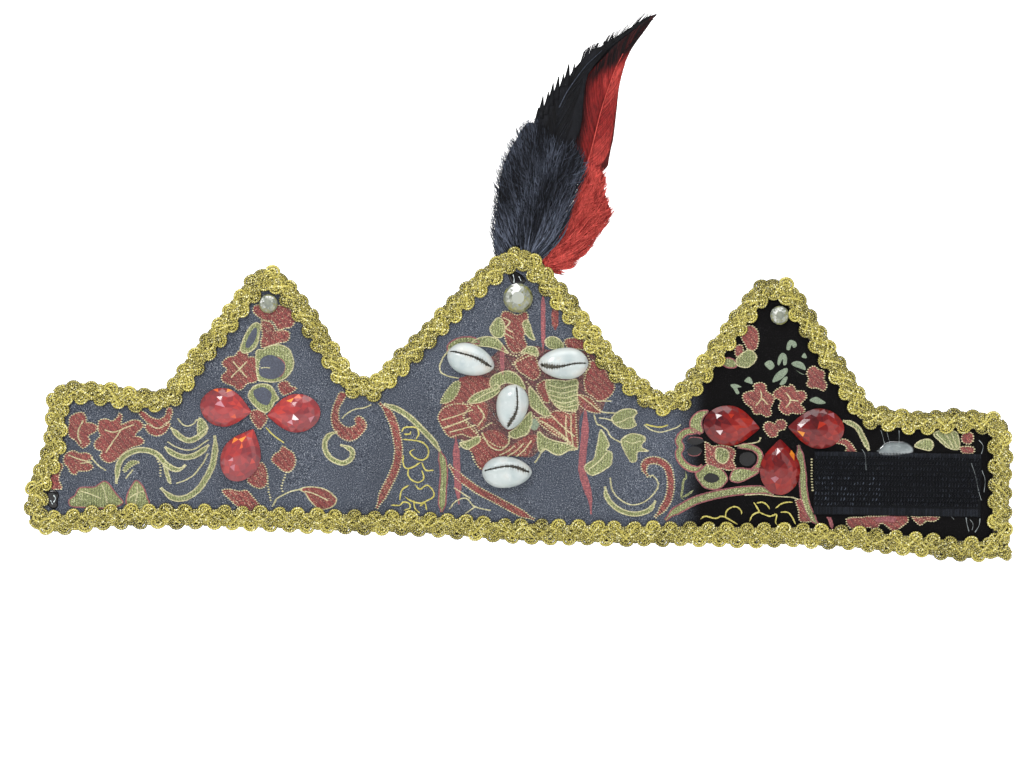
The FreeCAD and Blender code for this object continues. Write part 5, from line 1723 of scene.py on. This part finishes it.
def glue_string(bag, lift, rise, radius, stations):
    """A drawn-out string, lift off the cloth at its ends and rise further at its middle."""
    p = even(smooth_path(points(stations), False, 0.5), 0.5)
    share = np.linspace(0, 1, len(p))
    y = Y_FACE - lift - 0.15 - rise * np.sin(math.pi * share)
    radius = radius * (1 + 0.5 * np.cos(2 * math.pi * share))
    tube(bag, np.c_[p[:, 0], y, p[:, 1]], radius, sides=6, tint=0.8)


def build_glue(name, material, hold, node=None, pool=None, strings=()):
    """pool is (outline, height, grid); hold is a link, or the x of the cloth under the glue, whose
    value is not used.
    """
    bag = Bag()
    if pool:
        glue_pool(bag, *pool)
    for string in strings:
        glue_string(bag, *string)
    ob = make_piece(name, bag, material, node)
    if isinstance(hold, str):
        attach(ob, hold)
    else:
        stay_tangent(ob)


build_glue("glue_bead", BLACK_GLUE, "left_8", node="glue_corner", pool=(
    "-281.2,-19.8 -278.9,-18.5 -275.9,-19 -274,-21.3 -274.5,-25 -274.4,-28.6 -276.7,-30.4 "
    "-280.4,-28.1", 1.35, 0.9))
build_glue("glue_patch", BLACK_GLUE, -1.5, pool=(
    "-9.2,118 -6.9,120.4 -2,118.8 1.7,114.7 -1.8,112.2 -6.6,112.7", 0.7, 0.9))
# strings: lift, rise, radius, x,z stations
build_glue("glue_closure", CLEAR_GLUE, 222.0, node="glue_closure", pool=(
    "214.6,18.4 217.5,22.7 221.7,25.2 227,25.3 232.5,24.9 236.8,21.4 235.7,17.8 229.7,16.4 "
    "224.3,15.7 217.1,16", 0.9, 1.0), strings=(
    # the first two strings lie on the pool as painted highlights
    (0.62, 0.15, 0.30, "221.2,21.6 224.7,22.9 229,21.8"),
    (0.55, 0.15, 0.22, "226,19.3 230.8,20.7 233.2,20.1"),
    (0, 1.2, 0.14, "216.7,31.6 219.3,22.7"),
    (0, 1.0, 0.12, "220.3,30.5 223,21"),
    (0, 1.3, 0.14, "227.5,32 227.7,22.4"),
    (0, 0.5, 0.12, "214.6,19 220.6,20.4"),
))
# pale strings on the black glue patch and bead are painted highlights
build_glue("glue_highlight_peak", GLUE_HIGHLIGHT, -1.5, strings=(
    (0.75, 0.1, 0.22, "-6.2,118.1 -5.5,115.7 -5.5,113.3"),
    (0.75, 0.1, 0.16, "-2.6,117 -1.3,114.6"),
))
build_glue("glue_highlight_corner", GLUE_HIGHLIGHT, "left_8", strings=(
    (1.3, 0.1, 0.26, "-277,-22 -275.7,-23.8 -276.8,-26.2"),
    (1.3, 0.1, 0.18, "-278.7,-25.1 -277.4,-27.4"),
))
build_glue("glue_string_tape", CLEAR_GLUE, 208.0, strings=(
    (1.2, 0.3, 0.11, "205.6,19.9 207.5,16.4 208.4,7.4"),
))
build_glue("glue_string_end", CLEAR_GLUE, 274.0, strings=(
    (1.2, 0.3, 0.11, "271.2,13.5 273.8,6.3 275.9,-2.6 277.9,-8.6"),
    (0, 0.3, 0.22, "269.2,-19 269.9,-23.2 271.2,-27.4"),
    (0, 0.3, 0.13, "271.6,-20.2 273.5,-23.1 273,-26.7"),
    (0, 0.3, 0.20, "277.6,-19.4 277.1,-23.6 274.8,-27.9"),
    (0, 0.2, 0.16, "260.2,-18.7 262,-20.4"),
    (0, 0.5, 0.20, "275.6,27.4 278.1,23.9 277.1,18.4"),
    (0, 0.4, 0.16, "277.9,9.4 279.9,3.5 279.5,-3.7"),
))
build_glue("glue_string_shell", CLEAR_GLUE, -11.0, strings=(
    (0, 1.2, 0.14, "-15.7,34.9 -13.9,32 -11.4,29.7"),
))


# ------------------------------------------------------------------ parts of a feather
def strand(bag, path, width, thick, tint):
    """A flat tapering barb."""
    count = len(path)
    share = np.linspace(0, 1, count)
    up = np.array([0, -1.0, 0])
    side = np.cross(tangents(path), up)
    side /= np.maximum(np.linalg.norm(side, axis=1), 1e-6)[:, None]
    half = width * (1 - 0.82 * share**1.6) / 2
    rows = []
    for across, rise in ((-1.0, 0.0), (0.0, 1.0), (1.0, 0.0)):
        lifted = up * (thick * rise * (1 - 0.7 * share))[:, None]
        rows.append(path + side * (half * across)[:, None] + lifted)
    faces = []
    for a in range(0, 3 * count - 3, 3):
        faces += [[a, a + 3, a + 4, a + 1], [a + 1, a + 4, a + 5, a + 2], [a + 2, a + 5, a + 3, a]]
    faces.append([0, 1, 2])
    faces.append([3 * count - 1, 3 * count - 2, 3 * count - 3])
    tints = np.repeat(np.broadcast_to(np.clip(tint, 0, 1), (count,)), 3)
    bag.add(np.stack(rows, 1).reshape(-1, 3), faces, tint=tints)


def reach(outline, start, direction, limit=80.0):
    """How far from start along direction the outline is."""
    side = np.roll(outline, -1, 0) - outline
    cross = direction[0] * side[:, 1] - direction[1] * side[:, 0]
    ok = np.abs(cross) > 1e-9
    gap = outline - start
    safe = np.where(ok, cross, 1)
    far = np.where(ok, (gap[:, 0] * side[:, 1] - gap[:, 1] * side[:, 0]) / safe, -1)
    share = np.where(ok, (gap[:, 0] * direction[1] - gap[:, 1] * direction[0]) / safe, -1)
    good = far[(share >= 0) & (share <= 1) & (far > 0.05)]
    return min(limit, good.min()) if len(good) else 0.0


def rotated(direction, a):
    x, z = direction
    return np.array([x * math.cos(a) - z * math.sin(a), x * math.sin(a) + z * math.cos(a)])


def vane(
    bag, shaft_line, outline, y, spacing, open_angle, width, tone,
    notch=0.0, depth=0.5, bend=0.25, closing=0.55,
):
    """Barbs every spacing on both sides, from the shaft to the outline. They open at open_angle
    degrees, less by closing at the tip, and bend towards the shaft."""
    r = even(smooth_path(shaft_line, False, 1.0), spacing)
    along = tangents(r)
    u = np.linspace(0, 1, 6)
    for i in range(len(r)):
        share = i / (len(r) - 1)
        for sign in (1, -1):
            a = math.radians(open_angle * (1 - closing * share)) * sign
            a += rng.uniform(-0.04, 0.04)
            leave, arrive = rotated(along[i], a), rotated(along[i], a * (1 - bend))
            both = leave + arrive
            long = reach(outline, r[i], both / np.linalg.norm(both))
            if long < 0.6:
                continue
            if notch and sign > 0:
                long *= 1 - notch * (0.5 + 0.5 * math.sin(i * 0.33)) * rng.uniform(0.2, 1) * 0.5
            long *= rng.uniform(0.97, 1.01)
            heading = leave[None] * (1 - u)[:, None] + arrive[None] * u[:, None]
            p = r[i] + heading * (u * long)[:, None]
            barb_y = y + depth * np.sin(u * math.pi * 0.5) * 0.6 + rng.uniform(-0.10, 0.10)
            barb_width = width * rng.uniform(0.85, 1.15)
            tint = tone(p[:, 0], p[:, 1], sign) + rng.uniform(-0.09, 0.09)
            strand(bag, np.c_[p[:, 0], barb_y, p[:, 1]], barb_width, 0.10, tint)


def signed_area(ring):
    x, z = ring[:, 0], ring[:, 1]
    return 0.5 * float((x * np.roll(z, -1) - np.roll(x, -1) * z).sum())


def web(bag, outline, y, inset, tint):
    """The closed web of the vane, hidden under its barbs; where its tint is darker than theirs it
    shows in the gaps as painted shade.
    """
    ring = even(smooth_path(outline, True, 1.0), 1.2, True)
    ring = offset_polygon(ring[::-1] if signed_area(ring) > 0 else ring, inset)
    plate(bag, ring, y - 0.12, y + 0.12, 0, grid=4.0, tint=tint)


def loose_tips(bag, tips, y, width, length, tint):
    """Loose groups of barbs whose ends stand clear of the vane's edge."""
    q = np.linspace(0, 1, 9)
    for x, z in points(tips):
        root_x = x - 1.1 * (1 - q) ** 1.3 * length / 10
        root_z = z - length * (1 - q)
        for shift in (-0.5, 0.0, 0.45):
            path = np.c_[
                root_x + shift * width * 0.45 * (1 - q),
                np.full(9, y - 0.12 * shift),
                root_z - abs(shift) * 2.2 * q,
            ]
            strand(bag, path, width * (1 - 0.3 * abs(shift)), 0.16, tint)


def shaft(bag, shaft_line, y, root_radius, tip_radius, tint):
    p = even(smooth_path(shaft_line, False, 1.0), 1.2)
    radius = root_radius + (tip_radius - root_radius) * np.linspace(0, 1, len(p))
    tube(bag, np.c_[p[:, 0], np.full(len(p), y), p[:, 1]], radius, tint=tint)


def down(bag, outline, roots, count, y_mid, y_deep, tone, curl, back, width):
    """Soft barbs that leave the shaft and sweep up and outwards, thickest in the middle of the
    tuft. back is how far below its end a barb leaves the shaft."""
    low, high = outline.min(0), outline.max(0)
    root_line = even(smooth_path(roots, False, 1.0), 0.5)
    made = 0
    while made < count:
        end = rng.uniform(low, high, (1, 2))
        if not inside(outline, end)[0]:
            continue
        end = end[0]
        want = end[1] - rng.uniform(*back)
        i = int(np.argmin(np.abs(root_line[:, 1] - want)))
        if np.linalg.norm(end - root_line[i]) < 6:
            i = max(0, i - int(rng.uniform(10, 40)))
        root = root_line[i]
        out = end[0] - root[0]
        mid = (root + end) / 2 + np.array([out * 0.32, -abs(out) * 0.10])
        u = np.linspace(0, 1, 9)[:, None]
        p = (1 - u) ** 2 * root + 2 * u * (1 - u) * mid + u * u * end
        # only the outer part shows as a separate barb
        p = p[4:] if rng.random() < 0.5 else p[2:]
        u = np.linspace(0, 1, len(p))
        wobble = curl * rng.uniform(-0.5, 0.5)
        swing = wobble * np.sin(u * math.pi * rng.uniform(0.8, 1.8)) * u
        p = p + turn_left(tangents(p)) * swing[:, None]
        share = np.clip((end[1] - low[1]) / (high[1] - low[1]), 0, 1)
        spread = y_deep * math.sin(math.pi * min(1, 0.12 + 0.95 * share)) ** 0.7
        # behind the braid at the root, fuller above it
        rise = float(np.clip((end[1] - 137.0) / 22.0, 0, 1))
        middle = -1.3 + (y_mid + 1.3) * rise
        y_end = middle + min(spread, 1.3 + 3.0 * rise) * rng.uniform(-1, 1)
        base = -1.3 + (y_end + 1.3) * 0.35
        ripple = 0.5 * np.sin(u * 5 + rng.uniform(0, 6)) * min(1.0, spread / 3)
        y = base + (y_end - base) * u + ripple
        # painted shade: barbs that end behind the middle of the tuft are darker
        tint = tone(p[:, 0], p[:, 1], 1) + rng.uniform(-0.30, 0.34) - 0.30 * (y_end > middle)
        strand(bag, np.c_[p[:, 0], y, p[:, 1]], width * rng.uniform(0.6, 1.5), 0.16, tint)
        made += 1


def finish_feather(name, bag, material, node=None):
    ob = make_piece(name, bag, material, node)
    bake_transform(ob)


# ------------------------------------------------------------------ the plume
# Outlines and shafts, x,z; shafts run from root to tip
REAR_EDGE = points("""
76.1,277.5 71.5,272.2 68.6,268 60.9,263.5 55.1,256.1 42.3,243.8 36.5,237.6 34.6,218.3 30.5,197.2
20.5,169.9 14,144.5 7.4,126.3 -1,126 1.9,148.3 5.3,175.4 7.6,199.5 7.8,210.9 11.8,218.8 17,225.6
22.8,232.4 26.2,238.5 29.6,245.2 34.8,251.6 40.7,256.6 47.8,261.6 56,266.4 63.1,271.4 70.1,276.1
""")
REAR_SHAFT = points("""
4.9,128.6 8.9,154.5 13.5,181.7 17.6,205.8 22.5,224 31.6,239.8 44.4,253.4 58.5,265.3 74.3,276.2
""")
RED_EDGE = points("""
74.9,276.5 70.4,268.6 66.3,262.5 62.4,255.2 59.3,247.9 57.2,238.2 56.2,228.6 55.4,217.7
54.5,206.9 53.8,200.3 52.7,194.9 51.7,188.8 50.1,182.8 40.7,175.3 31.1,177.4 27.1,188.1 25,199.4
25.4,207.2 26.7,221.7 29.9,236.2 36.3,244.8 46.7,255.9 57.3,264.6 66.7,272.1
""")
RED_SHAFT = points("""
19.2,130.8 22.5,141.1 24.7,149 31.3,170.2 35.7,184.1 38.9,196.2 43.1,215.6 46.4,227.7 51.3,242.8
55.8,252.6 63.3,263 70.8,272.8
""")
FRONT_EDGE = points("""
45.7,251.7 41,246.1 37.6,240 35.6,225.6 34.4,207.5 31.6,199.6 28.9,188.1 20.1,181.9 6.9,181.5
1.8,193.3 1.4,206.5 3.6,213.2 5.6,216.3 8.4,221.7 11.3,225.1 13.9,228.5 16.8,231.9 20.3,236.2
23.2,238.7 26.1,243.3 30.1,248.2 36,253.8 41.9,257 46.7,255.9
""")
FRONT_SHAFT = points("""
5.6,126.2 8.6,146.7 11.5,169.6 13.9,187.7 16.4,205.8 18.4,219 22.4,227.6 26.9,234.9 33.9,244.7
43.2,254
""")
# where the red feather's left side turns black
DARK_SIDE = points("""
27.1,188.1 29.8,200.2 31.2,212.2 31.5,223 32.4,232.7 38.8,239.5 49.4,245.8 56.4,253.2 64.6,260.6
71.6,268 77.3,278.4
""")
RED_DOWN = points("""
36.7,188.4 43.4,187.4 47.7,182.7 49.7,176.2 48.7,170.7 51.9,162.4 54.1,159.5 52.2,154 47.6,147.3
44.1,140.6 39.5,134.4 34.3,130.1 32,124.6 25.5,123.2 26.2,118.4 20.1,120.7 15.2,126.5 12.5,133.6
19,138 24.2,146 28.1,154.5 30.2,164.2 31.2,171.4 34.6,177.5
""")
RED_ROOTS = points("6.3,122.6 10.2,130 16,138.5 22.8,150.7 28.5,162.9 33,173.9 35.7,183.5")
RED_DOWN_WEB = points("""
36.8,187.2 42.8,186.8 46.5,182.1 49.1,176.1 48.1,170.7 50.7,162.4 52.6,158.8 51,154 46.3,147.8
42.9,141.7 38.3,136.8 32.3,136 25.1,136.4 23.1,143.5 28.1,154.5 30.2,164.2 32.4,172.6 34.6,177.5
""")
BLACK_DOWN = points("""
1.8,213.7 -3.6,212.4 -7,206.9 -11,200.2 -15,192.8 -17.8,185 -19.4,178.3 -20.6,168.7 -20.9,159
-21.3,151.8 -22.1,146.4 -20,138.7 -18.6,129.7 -16,124.4 -9.4,125.8 -1,125.4 7.4,126.3 12.6,131.2
17.3,136.2 23,144.7 27.6,153.3 30.8,165.4 31.8,173.8 36.4,178.8 37.9,187.8 32.9,196.7 26.7,201.3
18.3,201 12.2,206.9 7.2,212.7
""")
BLACK_ROOTS = points("-1.5,121.2 0.7,129.7 3.4,139.4 6.6,150.3 9.9,163.6 12.5,174.4 14.6,185.9")


def build_rear_feather():
    """A dark band down the left side of the plume, up to its tip."""
    bag = Bag()
    web(bag, REAR_EDGE, y=0.35, inset=1.6, tint=0.05)
    vane(
        bag, REAR_SHAFT, REAR_EDGE, y=0.15, spacing=0.7, open_angle=30, width=1.25,
        tone=lambda x, z, sign: 0.05 + 0 * x, notch=0.15,
    )
    tips = "36.3,254.7 40.4,257.6 44.5,260.3 49.5,263.8"
    loose_tips(bag, tips, y=0.2, width=1.8, length=7.5, tint=0.05)
    shaft(bag, REAR_SHAFT, y=0.1, root_radius=1.0, tip_radius=0.25, tint=0.12)
    name = "feather_black_rear"
    finish_feather(name, bag, BLACK_FEATHER, name)


def red_tone(x, z, sign):
    """Black along the left side and at the tip; the right vane is the brighter one."""
    clear = np.clip((x - np.interp(z, DARK_SIDE[:, 1], DARK_SIDE[:, 0])) / 7.0, 0, 1)
    clear = clear * clear * (3 - 2 * clear) * np.clip((266.0 - z) / 12.0, 0, 1)
    return ((0.62 if sign < 0 else 0.46) + 0.08 * np.sin(z / 9.0)) * clear


def build_red_feather():
    bag = Bag()
    web(bag, RED_EDGE, y=-0.75, inset=2.4, tint=0.16)
    vane(
        bag, RED_SHAFT, RED_EDGE, y=-1.1, spacing=0.42, open_angle=58, width=1.3,
        tone=red_tone, depth=0.35, bend=0.45, closing=0.72,
    )
    shaft(bag, RED_SHAFT[:10], y=-1.5, root_radius=0.62, tip_radius=0.16, tint=0.86)
    web(bag, RED_DOWN_WEB, y=-1.2, inset=1.2, tint=0.50)
    down(
        bag, RED_DOWN, RED_ROOTS, count=2600, y_mid=-1.6, y_deep=3.0,
        tone=lambda x, z, sign: 0.86 + 0.08 * np.sin(x / 3.1 + z / 4.0),
        curl=2.6, back=(2, 26), width=0.62,
    )
    finish_feather("feather_red", bag, RED_FEATHER, "feather_red")


def build_front_feather():
    bag = Bag()
    web(bag, FRONT_EDGE, y=-2.35, inset=2.6, tint=0.12)
    vane(
        bag, FRONT_SHAFT, FRONT_EDGE, y=-2.6, spacing=0.45, open_angle=34, width=1.25,
        tone=lambda x, z, sign: 0.07 + 0.07 * np.sin(x / 2.5), notch=0.08, bend=0.35,
    )
    tips = "23.5,245.3 17.6,237.6 14.5,233.6 8.6,225.7 11.8,228.4 6.1,218.7"
    loose_tips(bag, tips, y=-2.6, width=3.4, length=13.5, tint=0.08)
    loose_tips(bag, "20.6,239.5 26.9,245.7", y=-2.5, width=2.2, length=8.0, tint=0.08)
    shaft(bag, FRONT_SHAFT[5:], y=-3.1, root_radius=0.34, tip_radius=0.12, tint=0.62)
    name = "feather_black_front"
    finish_feather(name, bag, BLACK_FEATHER, name)


def down_tone(x, z, sign):
    return 0.50 + 0.12 * np.sin(x / 4.3 - z / 7.0) + 0.16 * np.clip((168 - z) / 34, 0, 1)


def build_black_down():
    bag = Bag()
    web(bag, BLACK_DOWN, y=-1.7, inset=4.2, tint=0.10)
    down(
        bag, BLACK_DOWN, BLACK_ROOTS, count=5600, y_mid=-3.6, y_deep=4.2, tone=down_tone,
        curl=3.8, back=(4, 40), width=0.55,
    )
    finish_feather("feather_down_black", bag, BLACK_FEATHER)


build_rear_feather()
build_red_feather()
build_front_feather()
build_black_down()


# ------------------------------------------------------------------ floor, light and camera (m)
def floor_material():
    """Pale and slightly glowing in front, clear from behind."""
    material = bpy.data.materials.new("pale_floor")
    material.use_nodes = True
    tree = material.node_tree
    shader = tree.nodes["Principled BSDF"]
    shader.inputs["Base Color"].default_value = (0.93, 0.93, 0.93, 1)
    shader.inputs["Roughness"].default_value = 0.9
    shader.inputs["Emission Color"].default_value = (1, 1, 1, 1)
    shader.inputs["Emission Strength"].default_value = 0.35
    side = tree.nodes.new("ShaderNodeNewGeometry")
    clear = tree.nodes.new("ShaderNodeBsdfTransparent")
    both = tree.nodes.new("ShaderNodeMixShader")
    tree.links.new(side.outputs["Backfacing"], both.inputs[0])
    tree.links.new(shader.outputs[0], both.inputs[1])
    tree.links.new(clear.outputs[0], both.inputs[2])
    tree.links.new(both.outputs[0], tree.nodes["Material Output"].inputs["Surface"])
    return material


def build_floor():
    """A floor that sweeps up into a wall behind the crown."""
    half_width, bend_start, bend_radius, gap_below = 4, 0.35, 0.4, 0.002
    z_floor = CAD_BOX[0].z - gap_below
    profile = [(-3.0, 0.0), (bend_start, 0.0)]
    for a in np.linspace(0.1, math.pi / 2, 14):
        y = bend_start + bend_radius * math.sin(a)
        profile.append((y, bend_radius - bend_radius * math.cos(a)))
    profile.append((bend_start + bend_radius, 3.0))
    vertices = []
    for y, z in profile:
        vertices += [(-half_width, y, z_floor + z), (half_width, y, z_floor + z)]
    faces = [[2 * i, 2 * i + 1, 2 * i + 3, 2 * i + 2] for i in range(len(profile) - 1)]
    mesh = bpy.data.meshes.new("floor")
    mesh.from_pydata(vertices, [], faces)
    mesh.polygons.foreach_set("use_smooth", [True] * len(faces))
    floor = bpy.data.objects.new("floor", mesh)
    scene.collection.objects.link(floor)
    mesh.materials.append(floor_material())


def build_world():
    world = bpy.data.worlds.new("studio")
    scene.world = world
    world.use_nodes = True
    background = world.node_tree.nodes["Background"]
    background.inputs["Color"].default_value = (1, 1, 1, 1)
    background.inputs["Strength"].default_value = 0.45


def lamp(name, place, target, size, power):
    data = bpy.data.lights.new(name, "AREA")
    data.shape = "DISK"
    data.size, data.energy = size, power
    ob = bpy.data.objects.new(name, data)
    ob.location = place
    ob.rotation_mode = "QUATERNION"
    ob.rotation_quaternion = (Vector(target) - Vector(place)).to_track_quat("-Z", "Y")
    scene.collection.objects.link(ob)


def build_camera():
    distance, view_width, roll = 1.5, 0.6186, 1.7
    data = bpy.data.cameras.new("camera")
    data.sensor_width = 36.0
    data.lens = 36.0 * distance / view_width
    data.clip_start, data.clip_end = 0.05, 50
    camera = bpy.data.objects.new("camera", data)
    level = Matrix.Rotation(math.radians(90), 4, "X")
    place = Matrix.Translation((-0.00272, -distance, 0.05124))
    camera.matrix_world = place @ level @ Matrix.Rotation(math.radians(roll), 4, "Z")
    scene.collection.objects.link(camera)
    scene.camera = camera


build_floor()
build_world()
lamp("key", place=(-0.55, -1.25, 0.95), target=(0, 0, 0.03), size=0.40, power=12.2)
lamp("fill", place=(0.95, -1.1, 0.35), target=(0, 0, 0.03), size=0.9, power=3)
lamp("back", place=(0.0, -0.2, 1.6), target=(0, 0.7, 0.2), size=1.6, power=26)
build_camera()
